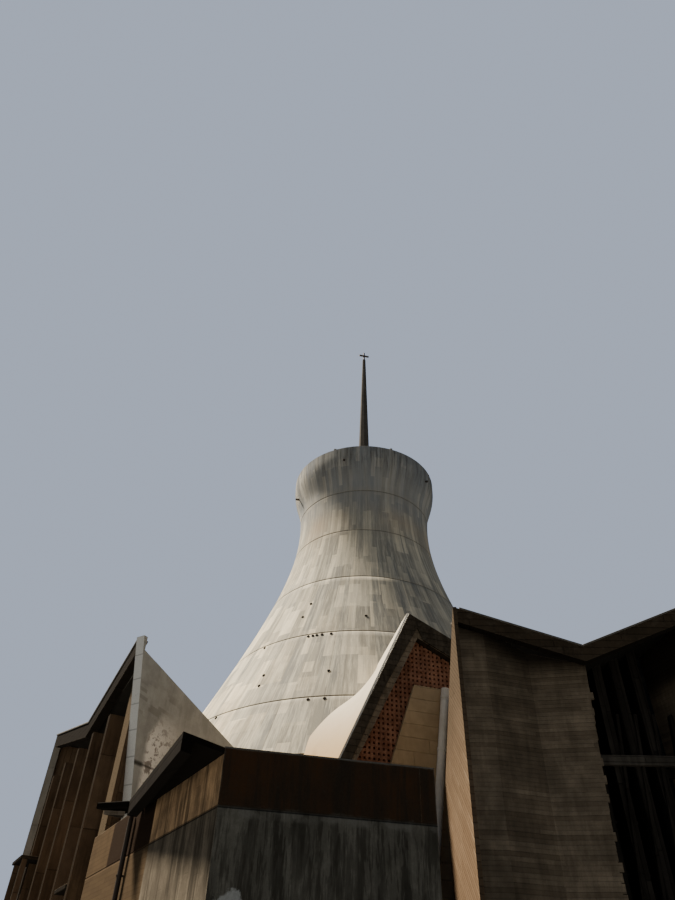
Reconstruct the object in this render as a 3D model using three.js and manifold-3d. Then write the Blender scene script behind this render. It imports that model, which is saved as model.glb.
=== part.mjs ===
// A modern concrete church: a hyperboloid lantern tower over a low hall of folded roofs and walls.
// The model is half the real size, in millimetres with +Z up, and every size below is in real metres.
// The origin is on the ground under the tower's axis. +X runs along the hall, and -Y faces the street.

import * as THREE from "three";
import { mergeVertices } from "three/addons/utils/BufferGeometryUtils.js";
import Module from "manifold-3d";

const wasm = await Module();
wasm.setup();

// Driving sizes, in real metres
const SCALE = 1 / 2; // model size over real size
const MM = 1000 * SCALE; // model millimetres in a real metre
const GAP = 0.0008; // clearance between neighbours, 0.4 mm in the model
const WELD = 1e-5; // vertices closer than this are one
const FLOOR = 0.3; // top of the floor
const SKY = 40; // cutting tools rise to here, above every roof
const BELOW = -1; // and start from here, under the floor
const REACH = 3; // how far they run past what they cut
const WALL_TOP = 20; // walls rise to here before the roof's underside cuts them
const SECTORS = 48; // flats round the tower

// The tower: a hyperboloid shell that flares into an upright crown
const NECK_RADIUS = 5.04;
const NECK_HEIGHT = 31.75;
const SPREAD = 0.6; // how far the shell's sides lean outwards for each metre down
const FLARE_START = 33.0;
const FLARE_END = 35.8;
const RIM_RADIUS = 5.7;
const SHELL_WALL = 0.3;
const SHELL_FOOT = 11.4;
const LIFT_JOINTS = [SHELL_FOOT, 14.7, 19.4, 24.3, 28.9, 32.6, 36.5]; // casting joints up the shell
const LEVELS_PER_LIFT = 3;

// The ring beam and the piers under the shell
const RING_OUTER = 13.15;
const RING_INNER = 12.6;
const RING_FOOT = 7.5;
const PIER_COUNT = 8;
const PIER_WIDTH = 0.9;
const PIER_LAP = 0.5; // how far a pier runs up into the beam
const PIER_SET_BACK = 0.05;

// The crown's roof, the spire and its cross
const CAP_EDGE = 35.4;
const CAP_TOP = 36.9;
const CAP_WALL = 0.15;
const SPIRE_LEG_SPREAD = 1.5;
const SPIRE_LEG_DROP = 0.8; // how far the legs' feet lie below the cap's top, before they are cut to it
const SPIRE_LEG_TOP = 42.2;
const SPIRE_LEG_LAP = 1.4; // how far the needle runs down between the legs
const LEG_FOOT_RADIUS = 0.16;
const LEG_TOP_RADIUS = 0.2;
const SPIRE_TOP = 53.0;
const SPIRE_FOOT_RADIUS = 0.46;
const SPIRE_TIP_RADIUS = 0.15;
const CROSS_TOP = 54.05;
const CROSS_ARM_HEIGHT = 53.62;
const CROSS_SPAN = 0.95;
const CROSS_BAR = 0.13;
const CROSS_TURN = THREE.MathUtils.degToRad(14);

// The hall's folded roofs and outer walls
const ROOF_DEPTH = 0.3;
const FASCIA_DEPTH = 0.6;
const LEFT_FASCIA_DEPTH = 0.7;
const FASCIA_WALL = 0.4;
const WALL = 0.4;
const SCREEN_INSET = 1.3; // how far the window screens lie behind the fascias
const BAY_INSET = 2.9; // the same for the deep bay on the long side
const GLASS = 0.06;

// The window screens: upright fins with a base wall and transoms, and a pier beside the gable's wall
const FIN_WALL = 0.35;
const FIN_DEPTH = 1.6;
const FIN_HEAD = 12.2; // the deep front of each fin stops here, under the folded roof's edge
const FIN_COUNT = 5;
const FIRST_FIN = 2.7; // this and the next three are distances from the hall's end
const LAST_FIN = 13.8;
const BUTTRESS_START = 15.1;
const BUTTRESS_END = 16.3;
const BUTTRESS_INSET = 0.45;
const BUTTRESS_SET_BACK = 0.03;
const BUTTRESS_LAP = 0.2; // how far the base wall, the transoms and the glass run into the buttress
const SCREEN_TRANSOM = 6.2;
const SILL = 1.3;
const SILL_SET_BACK = 0.05;
const TRANSOM = 0.3;
const TRANSOM_SET_BACK = 0.08;
const BAY_FIN_COUNT = 4;
const BAY_FIN_DEPTH = 1.15;
const BAY_TRANSOMS = [5.4, 9.4];

const point = (x, y, z) => new THREE.Vector3(x, y, z);

// Corners of the front half, going round from the left end to the right end.
// Each height is that of the roof's edge: ridges stand at the peaks, and valleys lie between them.
const leftEndMiddle = point(-18.5, -GAP / 2, 13.6);
const leftEndPeak = point(-18.5, -3.4, 15.1);
const leftValley = point(-13.5, -11.5, 13.1);
const leftPeak = point(-9.8, -17.5, 14.8);
const leftRidge = point(leftPeak.x, leftPeak.y, 14.3); // the roof's ridge, below the band's peak
const wedgePeak = point(3.55, -20.45, 14.8);
const bayValley = point(8.34, -20.45, 13.2);
const cornerPeak = point(13.17, -20.45, 15.15);
const rightValley = point(16.87, -14.45, 13.1);
const rightEndPeak = point(21.87, -6.35, 15.1);
const rightEndMiddle = point(21.87, -GAP / 2, 13.4);

// Where the ridges and valleys run into the tower's shell
const leftRoofRoots = [
  point(-11.5, -GAP / 2, 12.6),
  point(-11.3, -2.1, 13.3),
  point(-9.3, -7.9, 11.9),
  point(-5.9, -10.5, 11.75),
];
const rightRoofRoots = [
  point(5.2, -10.4, 13.3),
  point(6.3, -9.3, 11.8),
  point(7.9, -8.2, 13.0),
  point(9.6, -6.4, 11.9),
  point(11.0, -2.6, 13.2),
  point(11.6, -GAP / 2, 12.2),
];

// The steep fold behind the wedge wall
const wedgeInner = point(3.3, -15.6, 9.6);
const steepFoot = point(3.6, -15.7, 9.6);
const steepBack = point(3.6, -12.9, 8.9);

// The middle gable, whose wall stands on a line 70 degrees from the hall's cross axis
const gablePeak = point(2.27, -13.7, 18.0);
const GABLE_BEARING = THREE.MathUtils.degToRad(20);
const GABLE_LEFT_SLOPE = 2.118;
const GABLE_RIGHT_SLOPE = 0.445;
const GABLE_INNER_LEFT_SLOPE = 1.937;
const GABLE_INNER_RIGHT_SLOPE = 0.45;
const GABLE_INNER_PEAK = [0.43, 16.78];
const GABLE_FOOT = 8.2; // where the left leg runs down on to the annex roof
const GABLE_RIGHT = 4.2; // how far the right leg runs from the peak
const GABLE_POST = 0.4;
const GABLE_FRAME_DEPTH = 0.9;
const GABLE_HANG = 7.9; // underside of the gable wall where it crosses the hall
const GABLE_RULINGS = [9.2, 10.3, 12.0, 13.9, 15.8]; // heights on the left leg where the warped roof is folded
// Where its folds, its ridge and its right edge meet the tower, from the annex roof upwards
const gableRoots = [
  point(-4.1, -12.5, 8.4),
  point(-3.45, -12.8, 10.3),
  point(-2.63, -12.83, 11.6),
  point(-1.6, -12.28, 12.9),
  point(-0.68, -11.66, 14.2),
  point(0.15, -10.97, 15.5),
  point(0.87, -10.22, 16.8),
  point(4.9, -9.7, 15.2),
];
const GABLE_SINK = 1.2; // how far the roof runs on inside the tower before it is cut

// The low annex block in front of the tower
const ANNEX_TOP = 6.9;
const annexLeft = point(-3.35, -28.0, 6.4);
const annexRight = point(1.8, -26.6, 6.4);
const annexBack = point(-1.5, -15.07, 8.2);
const annexHall = point(-9.8, -17.5, 6.5);
const annexRoots = [point(-5.0, -10.0, 8.7), point(-1.0, -11.6, 8.7)];
const CANOPY_DEPTH = 0.42; // of the beam along its outer edge
const CANOPY_BEAM = 0.3;
const CANOPY_SLAB = 0.14;
const CANOPY_LENGTH = 6.2; // along the annex's left wall
const canopyOuterFront = point(-4.15, -29.1, 0);
const canopyOuterBack = point(-7.0, -23.0, 0);

// Doorway in the left end wall
const DOOR_WIDTH = 2.6;
const DOOR_HEIGHT = 3.4;

// A triangle mesh as a solid: equal vertices are merged, and flat triangles dropped
function solidOf(geometry) {
  const bare = geometry.index ? geometry.toNonIndexed() : geometry.clone();
  bare.deleteAttribute("normal");
  bare.deleteAttribute("uv");
  const merged = mergeVertices(bare, WELD);
  const index = merged.index.array;
  const kept = [];
  for (let i = 0; i < index.length; i += 3) {
    const [a, b, c] = [index[i], index[i + 1], index[i + 2]];
    if (a !== b && b !== c && c !== a) kept.push(a, b, c);
  }
  const vertProperties = new Float32Array(merged.attributes.position.array);
  return new wasm.Manifold(new wasm.Mesh({ numProp: 3, vertProperties, triVerts: new Uint32Array(kept) }));
}

function join(first, ...others) {
  return others.reduce((whole, other) => whole.add(other), first);
}

function cut(whole, ...tools) {
  return tools.reduce((left, tool) => left.subtract(tool), whole);
}

// The plan line from one corner to the next, with the outside on its right
function planLine(from, to) {
  const run = new THREE.Vector2(to.x - from.x, to.y - from.y);
  const length = run.length();
  return { from, dir: run.divideScalar(length), length };
}

// The plan place that lies a distance along a line and an inset behind it
function placeOn(line, along, inset = 0) {
  const { from, dir } = line;
  return point(from.x + dir.x * along - dir.y * inset, from.y + dir.y * along + dir.x * inset, 0);
}

// An upright slab: an outline of (along, height) on a plan line, from an inset inwards
function panel(line, outline, inset, thickness) {
  const shape = new THREE.Shape(outline.map(([along, height]) => new THREE.Vector2(along, height)));
  const geometry = new THREE.ExtrudeGeometry(shape, { depth: thickness, bevelEnabled: false });
  const { x, y } = line.dir;
  const stand = new THREE.Matrix4().makeBasis(point(x, y, 0), point(0, 0, 1), point(y, -x, 0));
  stand.setPosition(placeOn(line, 0, inset + thickness));
  return solidOf(geometry.applyMatrix4(stand));
}

// The (along, height) outline of an upright rectangle
function upright(start, end, bottom, top) {
  return [
    [start, bottom],
    [end, bottom],
    [end, top],
    [start, top],
  ];
}

// A plan outline raised from one height to another
function prism(corners, bottom, top) {
  const shape = new THREE.Shape(corners.map(({ x, y }) => new THREE.Vector2(x, y)));
  const geometry = new THREE.ExtrudeGeometry(shape, { depth: top - bottom, bevelEnabled: false });
  return solidOf(geometry.translate(0, 0, bottom));
}

// A folded surface of triangles, closed between an upper and a lower height at each of its points
function folded(points, faces, upper, lower) {
  const count = points.length;
  const place = (height) => points.flatMap((p) => [p.x, p.y, height(p)]);
  const triangles = [];
  const edges = new Set(faces.flatMap(([a, b, c]) => [`${a},${b}`, `${b},${c}`, `${c},${a}`]));
  for (const [a, b, c] of faces) {
    triangles.push(a, b, c, c + count, b + count, a + count);
    for (const [p, q] of [[a, b], [b, c], [c, a]]) {
      if (edges.has(`${q},${p}`)) continue;
      triangles.push(p, p + count, q + count, p, q + count, q);
    }
  }
  const geometry = new THREE.BufferGeometry();
  const positions = new Float32Array([...place(upper), ...place(lower)]);
  geometry.setAttribute("position", new THREE.BufferAttribute(positions, 3));
  geometry.setIndex(triangles);
  return solidOf(geometry);
}

// A roof between its outer edge and the points where its folds run into the tower
function roofSurface(edge, roots, extraPoints = [], extraFaces = []) {
  const points = [...edge, ...roots, ...extraPoints];
  const faces = [...extraFaces];
  for (let i = 0; i + 1 < edge.length; i++) {
    const root = edge.length + i;
    faces.push([i, i + 1, root + 1], [i, root + 1, root]);
  }
  return {
    plate: folded(points, faces, (p) => p.z, (p) => p.z - ROOF_DEPTH),
    above: folded(points, faces, () => SKY, (p) => p.z - ROOF_DEPTH - GAP),
    below: folded(points, faces, (p) => p.z + GAP, () => BELOW),
  };
}

// The outer radius of the tower's shell at a height
function shellRadius(height) {
  const hyperbola = Math.hypot(NECK_RADIUS, SPREAD * (NECK_HEIGHT - Math.min(height, FLARE_START)));
  const rise = THREE.MathUtils.clamp((height - FLARE_START) / (FLARE_END - FLARE_START), 0, 1);
  return hyperbola + (RIM_RADIUS - hyperbola) * Math.sin((rise * Math.PI) / 2) ** 1.5;
}

// A closed profile of (radius, height) points turned round the tower's axis
function turned(profile, sectors = SECTORS) {
  const points = profile.map(([radius, height]) => new THREE.Vector2(radius, height));
  const geometry = new THREE.LatheGeometry([...points, points[0]], sectors);
  return solidOf(geometry.rotateX(Math.PI / 2));
}

function liftHeights(bottom, top) {
  return Array.from({ length: LEVELS_PER_LIFT + 1 }, (_, i) => bottom + ((top - bottom) * i) / LEVELS_PER_LIFT);
}

// One lift of the shell between two casting joints
function towerLift(bottom, top) {
  const heights = liftHeights(bottom + GAP / 2, top - GAP / 2);
  const outside = heights.map((height) => [shellRadius(height), height]);
  const inside = heights.map((height) => [shellRadius(height) - SHELL_WALL, height]).reverse();
  return turned([...outside, ...inside]);
}

// The space of the tower and its ring beam, which roofs and walls stop short of
function towerSpace() {
  const heights = LIFT_JOINTS.slice(0, -1).flatMap((bottom, i) => liftHeights(bottom, LIFT_JOINTS[i + 1]));
  const shell = [...new Set(heights)].map((height) => [shellRadius(height) + GAP, height]);
  const ring = RING_OUTER + GAP;
  return turned([[0, RING_FOOT - GAP], [ring, RING_FOOT - GAP], [ring, SHELL_FOOT - GAP], ...shell, [0, SKY]]);
}

// The ring beam and the piers that carry the shell, cast in one
function ringAndPiers() {
  const beam = turned([
    [RING_OUTER, RING_FOOT],
    [RING_OUTER, SHELL_FOOT - GAP],
    [RING_INNER, SHELL_FOOT - GAP],
    [RING_INNER, RING_FOOT],
  ]);
  const piers = [];
  for (let i = 0; i < PIER_COUNT; i++) {
    const height = RING_FOOT + PIER_LAP - FLOOR - GAP;
    const geometry = new THREE.BoxGeometry(RING_OUTER - RING_INNER, PIER_WIDTH, height);
    geometry.translate((RING_OUTER + RING_INNER) / 2 - PIER_SET_BACK, 0, FLOOR + GAP + height / 2);
    geometry.rotateZ(((i + 0.5) * 2 * Math.PI) / PIER_COUNT);
    piers.push(solidOf(geometry));
  }
  return join(beam, ...piers);
}

// The radius of the crown's inner face at a height, straight between the lift's levels
function crownInside(height) {
  const levels = liftHeights(LIFT_JOINTS.at(-2), LIFT_JOINTS.at(-1));
  const i = levels.findIndex((level) => level > height);
  const share = (height - levels[i - 1]) / (levels[i] - levels[i - 1]);
  return THREE.MathUtils.lerp(shellRadius(levels[i - 1]), shellRadius(levels[i]), share) - SHELL_WALL - GAP;
}

// The upper face of the crown's cone roof at a distance from the axis
const capHeight = (radius) => CAP_TOP - ((CAP_TOP - CAP_EDGE) * radius) / crownInside(CAP_EDGE);

// The shallow cone roof inside the crown
function towerCap() {
  const underEdge = CAP_EDGE - CAP_WALL;
  return turned([
    [0, CAP_TOP - CAP_WALL],
    [crownInside(underEdge), underEdge],
    [crownInside(CAP_EDGE), CAP_EDGE],
    [0, CAP_TOP],
  ]);
}

// A tapered bar with square ends between two places
function taperedBar(bottom, top, bottomRadius, topRadius, sides) {
  const axis = new THREE.Vector3().subVectors(top, bottom);
  const geometry = new THREE.CylinderGeometry(topRadius, bottomRadius, axis.length(), sides);
  const turn = new THREE.Quaternion().setFromUnitVectors(point(0, 1, 0), axis.normalize());
  const middle = new THREE.Vector3().addVectors(bottom, top).multiplyScalar(0.5);
  return solidOf(geometry.applyMatrix4(new THREE.Matrix4().compose(middle, turn, point(1, 1, 1))));
}

// The spire: four splayed legs on the cap under one tapered needle
function spire() {
  const needleFoot = point(0, 0, SPIRE_LEG_TOP - SPIRE_LEG_LAP);
  const needle = taperedBar(needleFoot, point(0, 0, SPIRE_TOP), SPIRE_FOOT_RADIUS, SPIRE_TIP_RADIUS, 8);
  const underCap = turned([
    [0, 0],
    [RIM_RADIUS, 0],
    [RIM_RADIUS, capHeight(RIM_RADIUS) + GAP],
    [0, CAP_TOP + GAP],
  ]);
  const legs = [];
  for (let i = 0; i < 4; i++) {
    const bearing = ((i + 0.5) * Math.PI) / 2;
    const [x, y] = [Math.cos(bearing), Math.sin(bearing)].map((part) => part * SPIRE_LEG_SPREAD);
    const foot = point(x, y, CAP_TOP - SPIRE_LEG_DROP);
    legs.push(taperedBar(foot, point(0, 0, SPIRE_LEG_TOP), LEG_FOOT_RADIUS, LEG_TOP_RADIUS, 6));
  }
  return cut(join(needle, ...legs), underCap);
}

function cross() {
  const height = CROSS_TOP - SPIRE_TOP - GAP;
  const post = new THREE.BoxGeometry(CROSS_BAR, CROSS_BAR, height).translate(0, 0, SPIRE_TOP + GAP + height / 2);
  const arm = new THREE.BoxGeometry(CROSS_SPAN, CROSS_BAR, CROSS_BAR).translate(0, 0, CROSS_ARM_HEIGHT);
  return join(solidOf(post.rotateZ(CROSS_TURN)), solidOf(arm.rotateZ(CROSS_TURN)));
}

const tower = towerSpace();

// Plan lines of the front half's faces
const leftLine = planLine(leftEndPeak, leftPeak);
const bayLine = planLine(wedgePeak, cornerPeak);
const rightLine = planLine(cornerPeak, rightEndPeak);
const gableDir = new THREE.Vector2(Math.cos(GABLE_BEARING), Math.sin(GABLE_BEARING));
const gableLine = { from: gablePeak, dir: gableDir };
const leftGableLine = planLine(leftPeak, leftRoofRoots[3]);
const wedgeLine = planLine(wedgePeak, wedgeInner);

// The wall under the left ridge: its free end leans out from the annex roof up to the peak
const GABLE_WALL = 0.45;
const LEAN = 0.19; // how far the free end lies back for each metre below the peak
const leanAt = (height) => LEAN * (leftPeak.z - height);
const leftGableEnd = 6.5; // it stands on the floor to here, and runs on above the ring beam's foot
const SHOULDER = 0.22; // behind its street end the wall's top drops below the band's peak
const SHOULDER_DROP = 0.1;
const leftGableOutline = [
  [FASCIA_WALL, FLOOR + GAP],
  [leftGableEnd, FLOOR + GAP],
  [leftGableEnd, RING_FOOT],
  [leftGableLine.length, RING_FOOT],
  [leftGableLine.length, leftRoofRoots[3].z],
  [SHOULDER, leftRidge.z - SHOULDER_DROP],
  [SHOULDER, leftPeak.z],
  [0, leftPeak.z],
  [leanAt(ANNEX_TOP), ANNEX_TOP],
  [FASCIA_WALL, ANNEX_TOP],
];
const leftGableWall = cut(panel(leftGableLine, leftGableOutline, -GABLE_WALL / 2, GABLE_WALL), tower);
const leftGableSpace = panel(
  leftGableLine,
  upright(-REACH, leftGableLine.length + REACH, BELOW, SKY),
  -GABLE_WALL / 2 - GAP,
  GABLE_WALL + 2 * GAP,
);

// The wedge wall: a raking wall behind the right gable's peak, with its short link to the middle gable
const WEDGE_WALL = 0.45;
const WEDGE_END = 0.15; // it thins to this at its street end
const wedgeOutline = [
  [0, FLOOR + GAP],
  [wedgeLine.length, FLOOR + GAP],
  [wedgeLine.length, wedgeInner.z],
  [0, wedgePeak.z],
];
const wedgeTaper = planLine(
  point(wedgePeak.x + WEDGE_END, wedgePeak.y, 0),
  point(wedgeInner.x + WEDGE_WALL, wedgeInner.y, 0),
);
const rightOfTaper = (clear) =>
  panel(wedgeTaper, upright(-REACH, wedgeTaper.length + REACH, BELOW, SKY), -REACH, REACH - clear);
const wedgeSpace = cut(
  panel(
    wedgeLine,
    upright(-REACH, wedgeLine.length + GAP, BELOW, SKY),
    -WEDGE_WALL - GAP,
    WEDGE_WALL + 2 * GAP,
  ),
  rightOfTaper(GAP),
);

// An edge band under a folded roof's edge, from each of its corners to the next
function fascia(line, stations, start, end, depth) {
  const heightAt = (along) => {
    const i = stations.findIndex(([next], n) => n > 0 && along <= next + GAP);
    const [[s0, z0], [s1, z1]] = [stations[i - 1], stations[i]];
    return z0 + ((z1 - z0) * (along - s0)) / (s1 - s0);
  };
  const corners = stations.map(([along]) => along).filter((along) => along > start && along < end);
  const upper = [start, ...corners, end].map((along) => [along, heightAt(along)]);
  const lower = upper.map(([along, height]) => [along, height - depth]);
  return panel(line, [...lower, ...upper.reverse()], 0, FASCIA_WALL);
}

const fasciaSpace = (line) =>
  panel(line, upright(-REACH, line.length + REACH, BELOW, SKY), -REACH, REACH + FASCIA_WALL + GAP);

const leftStations = [
  [0, leftEndPeak.z],
  [planLine(leftEndPeak, leftValley).length, leftValley.z],
  [leftLine.length, leftPeak.z],
];
const bayStations = [
  [0, wedgePeak.z],
  [bayValley.x - wedgePeak.x, bayValley.z],
  [bayLine.length, cornerPeak.z],
];
const rightStations = [
  [0, cornerPeak.z],
  [planLine(cornerPeak, rightValley).length, rightValley.z],
  [rightLine.length, rightEndPeak.z],
];

const MITRE_SPARE = 0.1;
const fasciaMitre = GABLE_WALL / 2 + MITRE_SPARE; // how far the left band stops short of the peak
const leftFascia = cut(
  fascia(leftLine, leftStations, WALL, leftLine.length - fasciaMitre, LEFT_FASCIA_DEPTH),
  leftGableSpace,
);
const bayFascia = cut(fascia(bayLine, bayStations, 0, bayLine.length - GAP, FASCIA_DEPTH), wedgeSpace);
const rightFascia = cut(
  fascia(rightLine, rightStations, 0, rightLine.length - WALL, FASCIA_DEPTH),
  fasciaSpace(bayLine),
);

// The end walls rise to the roof's edge, and the left one holds the main doorway
function endWall(peak, middle, door) {
  const outward = Math.sign(peak.x);
  const ends = [point(peak.x, -outward * Math.abs(peak.y), 0), point(peak.x, outward * Math.abs(peak.y), 0)];
  const line = planLine(...ends);
  const outline = [
    [0, FLOOR + GAP],
    [line.length, FLOOR + GAP],
    [line.length, peak.z],
    [line.length / 2, middle.z],
    [0, peak.z],
  ];
  const wall = panel(line, outline, 0, WALL);
  if (!door) return wall;
  const sides = [line.length / 2 - DOOR_WIDTH / 2, line.length / 2 + DOOR_WIDTH / 2];
  return cut(wall, panel(line, upright(...sides, 0, FLOOR + DOOR_HEIGHT), -REACH, 2 * REACH));
}

// The space from an end wall's inner face outwards, over the hall's whole width
function endSpace(peak) {
  const outward = Math.sign(peak.x);
  const width = 2 * (Math.abs(peak.y) + REACH);
  const depth = REACH + WALL + GAP;
  const geometry = new THREE.BoxGeometry(depth, width, SKY - BELOW);
  return solidOf(geometry.translate(peak.x + outward * (REACH - depth / 2), 0, (SKY + BELOW) / 2));
}

// The middle gable: a frame of two legs and a post, with the wall and the tile screen inside it
const legLeft = (height) => -(gablePeak.z - height) / GABLE_LEFT_SLOPE;
const innerLegLeft = (height) => GABLE_INNER_PEAK[0] - (GABLE_INNER_PEAK[1] - height) / GABLE_INNER_LEFT_SLOPE;
const legRight = (along) => gablePeak.z - GABLE_RIGHT_SLOPE * along;
const innerLegRight = (along) => GABLE_INNER_PEAK[1] - GABLE_INNER_RIGHT_SLOPE * (along - GABLE_INNER_PEAK[0]);
const postInside = GABLE_RIGHT - GABLE_POST;
const gableFrameOutline = [
  [legLeft(GABLE_FOOT), GABLE_FOOT],
  [innerLegLeft(GABLE_FOOT), GABLE_FOOT],
  GABLE_INNER_PEAK,
  [postInside, innerLegRight(postInside)],
  [postInside, GABLE_HANG],
  [GABLE_RIGHT, GABLE_HANG],
  [GABLE_RIGHT, legRight(GABLE_RIGHT)],
  [0, gablePeak.z],
];
const gableFrame = cut(panel(gableLine, gableFrameOutline, 0, GABLE_FRAME_DEPTH), tower);

// The board-marked wall and the L-shaped tile screen over and beside it
const PANEL_TOP = 14.45;
const PANEL_SLOPE = 2.887; // how steeply the wall's left edge rises
const PANEL_CORNER = 0.22;
const PANEL_INSET = 0.2;
const PANEL_WALL = 0.25;
const SCREEN_WALL = 0.22;
const TILE_INSET = 0.4;
const panelLeft = (height) => PANEL_CORNER - (PANEL_TOP - height) / PANEL_SLOPE;
const gableWallStart = -4.0;
const gableWallEnd = 1.95;
const gableWallOutline = [
  [gableWallStart, FLOOR + GAP],
  [gableWallEnd, FLOOR + GAP],
  [gableWallEnd, GABLE_HANG],
  [postInside - GAP, GABLE_HANG],
  [postInside - GAP, PANEL_TOP],
  [PANEL_CORNER, PANEL_TOP],
  [panelLeft(GABLE_FOOT), GABLE_FOOT],
  [gableWallStart, GABLE_FOOT - GAP],
];
const gableWall = cut(
  panel(gableLine, gableWallOutline, PANEL_INSET, PANEL_WALL),
  panel(gableLine, upright(-SKY, innerLegLeft(GABLE_FOOT) + GAP, GABLE_FOOT - GAP, SKY), -REACH, 2 * REACH),
  tower,
);
const gableTileOutline = [
  [innerLegLeft(GABLE_FOOT) + 2 * GAP, GABLE_FOOT + GAP],
  [panelLeft(GABLE_FOOT) - GAP, GABLE_FOOT + GAP],
  [PANEL_CORNER - GAP, PANEL_TOP + GAP],
  [postInside - GAP, PANEL_TOP + GAP],
  [postInside - GAP, innerLegRight(postInside) - 2 * GAP],
  [GABLE_INNER_PEAK[0], GABLE_INNER_PEAK[1] - 2 * GAP],
];
const gableTiles = cut(panel(gableLine, gableTileOutline, TILE_INSET, SCREEN_WALL), tower);
const frameSpaceOutline = [
  [legLeft(GABLE_FOOT) - GAP, GABLE_FOOT - GAP],
  [innerLegLeft(GABLE_FOOT) + GAP, GABLE_FOOT - GAP],
  GABLE_INNER_PEAK,
  [postInside - GAP, innerLegRight(postInside)],
  [postInside - GAP, GABLE_HANG - GAP],
  [GABLE_RIGHT + GAP, GABLE_HANG - GAP],
  [GABLE_RIGHT + GAP, SKY],
  [legLeft(GABLE_FOOT) - GAP, SKY],
];
const wallSpaceOutline = [
  [gableWallStart - GAP, BELOW],
  [gableWallEnd + GAP, BELOW],
  [gableWallEnd + GAP, GABLE_HANG - GAP],
  [postInside, GABLE_HANG - GAP],
  [postInside, innerLegRight(postInside)],
  GABLE_INNER_PEAK,
  [innerLegLeft(GABLE_FOOT), GABLE_FOOT],
  [gableWallStart - GAP, GABLE_FOOT],
];
const wallSpace = panel(gableLine, wallSpaceOutline, PANEL_INSET - GAP, GABLE_FRAME_DEPTH);
const gableSpace = join(panel(gableLine, frameSpaceOutline, -GAP, GABLE_FRAME_DEPTH + 2 * GAP), wallSpace);

// The folded roofs of the left and right halls
const leftEdge = [leftEndMiddle, leftEndPeak, leftValley, leftRidge];
const leftSurface = roofSurface(leftEdge, leftRoofRoots);
const leftRoof = cut(leftSurface.plate, tower, fasciaSpace(leftLine), leftGableSpace, endSpace(leftEndPeak));

const rightEdge = [wedgePeak, bayValley, cornerPeak, rightValley, rightEndPeak, rightEndMiddle];
const steepPoints = [steepFoot, steepBack];
const firstRoot = rightEdge.length;
const steepStart = firstRoot + rightRoofRoots.length;
const steepFaces = [
  [0, firstRoot, steepStart],
  [firstRoot, steepStart + 1, steepStart],
];
const rightSurface = roofSurface(rightEdge, rightRoofRoots, steepPoints, steepFaces);
const rightRoof = cut(
  rightSurface.plate,
  tower,
  fasciaSpace(bayLine),
  fasciaSpace(rightLine),
  wedgeSpace,
  gableSpace,
  endSpace(rightEndPeak),
);

// The wedge wall is cut back to its own outline, and its link runs on under the steep fold
const LINK_LAP = 0.2; // how far the link runs into the wedge wall
const linkLine = planLine(point(steepFoot.x, wedgeInner.y - LINK_LAP, 0), point(steepFoot.x, steepBack.y, 0));
const link = cut(
  panel(linkLine, upright(0, linkLine.length, FLOOR + GAP, WALL_TOP), -WALL, WALL),
  rightSurface.above,
  gableSpace,
  tower,
);
const wedgeWall = join(cut(panel(wedgeLine, wedgeOutline, -WEDGE_WALL, WEDGE_WALL), rightOfTaper(0)), link);

// The annex roof's surface, which rises from the block to the ring beam
const annexPoints = [annexHall, annexLeft, annexRight, annexBack, annexRoots[1], annexRoots[0]];
const annexFaces = [
  [0, 1, 5],
  [1, 4, 5],
  [1, 3, 4],
  [1, 2, 3],
];
const annexPlate = folded(annexPoints, annexFaces, (p) => p.z, (p) => p.z - ROOF_DEPTH);
const annexBelow = folded(annexPoints, annexFaces, (p) => p.z + GAP, () => BELOW);

// A cheek closes the middle gable's right side down to the hall roof
const gableRight = placeOn(gableLine, GABLE_RIGHT);
gableRight.z = legRight(GABLE_RIGHT);
const gableLeg = [GABLE_FOOT, ...GABLE_RULINGS].map((height) => placeOn(gableLine, legLeft(height)).setZ(height));
const gableEdge = [...gableLeg, gablePeak, gableRight];
const gableInner = gableRoots.map((root) => {
  const share = 1 - GABLE_SINK / Math.hypot(root.x, root.y);
  return point(root.x * share, root.y * share, root.z);
});
const rootStart = gableEdge.length;
const innerStart = rootStart + gableRoots.length;
const innerFaces = gableRoots.slice(1).flatMap((_, i) => [
  [rootStart + i, rootStart + i + 1, innerStart + i + 1],
  [rootStart + i, innerStart + i + 1, innerStart + i],
]);
const gableSurface = roofSurface(gableEdge, gableRoots, gableInner, innerFaces);
const cheekRoot = gableRoots.at(-1);
const cheekLine = planLine(gableRight, cheekRoot);
const CHEEK_SET_BACK = 0.03; // behind the roof's edge
const cheekOutline = [
  [0, GABLE_HANG],
  [cheekLine.length, GABLE_HANG],
  [cheekLine.length, cheekRoot.z - ROOF_DEPTH / 2],
  [0, gableRight.z - ROOF_DEPTH / 2],
];
const cheek = cut(panel(cheekLine, cheekOutline, CHEEK_SET_BACK, ROOF_DEPTH), rightSurface.below);
const beforeFrame = panel(gableLine, upright(-SKY, SKY, BELOW, SKY), -SKY, SKY + GABLE_FRAME_DEPTH + GAP);
const gableRoof = cut(join(gableSurface.plate, cheek), tower, beforeFrame, annexBelow);

// A window screen between two places on a line. Its fins stand proud of the rest, in front and behind.
function finScreen(line, inset, start, end, fins, transoms, finDepth, finHead) {
  const backed = (outline, setBack) => panel(line, outline, inset + setBack, FIN_WALL - 2 * setBack);
  const parts = [backed(upright(start, end, FLOOR + GAP, SILL), SILL_SET_BACK)];
  for (const along of fins) {
    const sides = [along - FIN_WALL / 2, along + FIN_WALL / 2];
    parts.push(panel(line, upright(...sides, FLOOR + GAP, finHead), inset + FIN_WALL - finDepth, finDepth));
    parts.push(panel(line, upright(...sides, finHead, WALL_TOP), inset, FIN_WALL));
  }
  for (const height of transoms) {
    parts.push(backed(upright(start, end, height, height + TRANSOM), TRANSOM_SET_BACK));
  }
  return join(...parts);
}

function glassSheet(line, inset, start, end) {
  return panel(line, upright(start, end, FLOOR + GAP, WALL_TOP), inset + FIN_WALL + GAP, GLASS);
}

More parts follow.
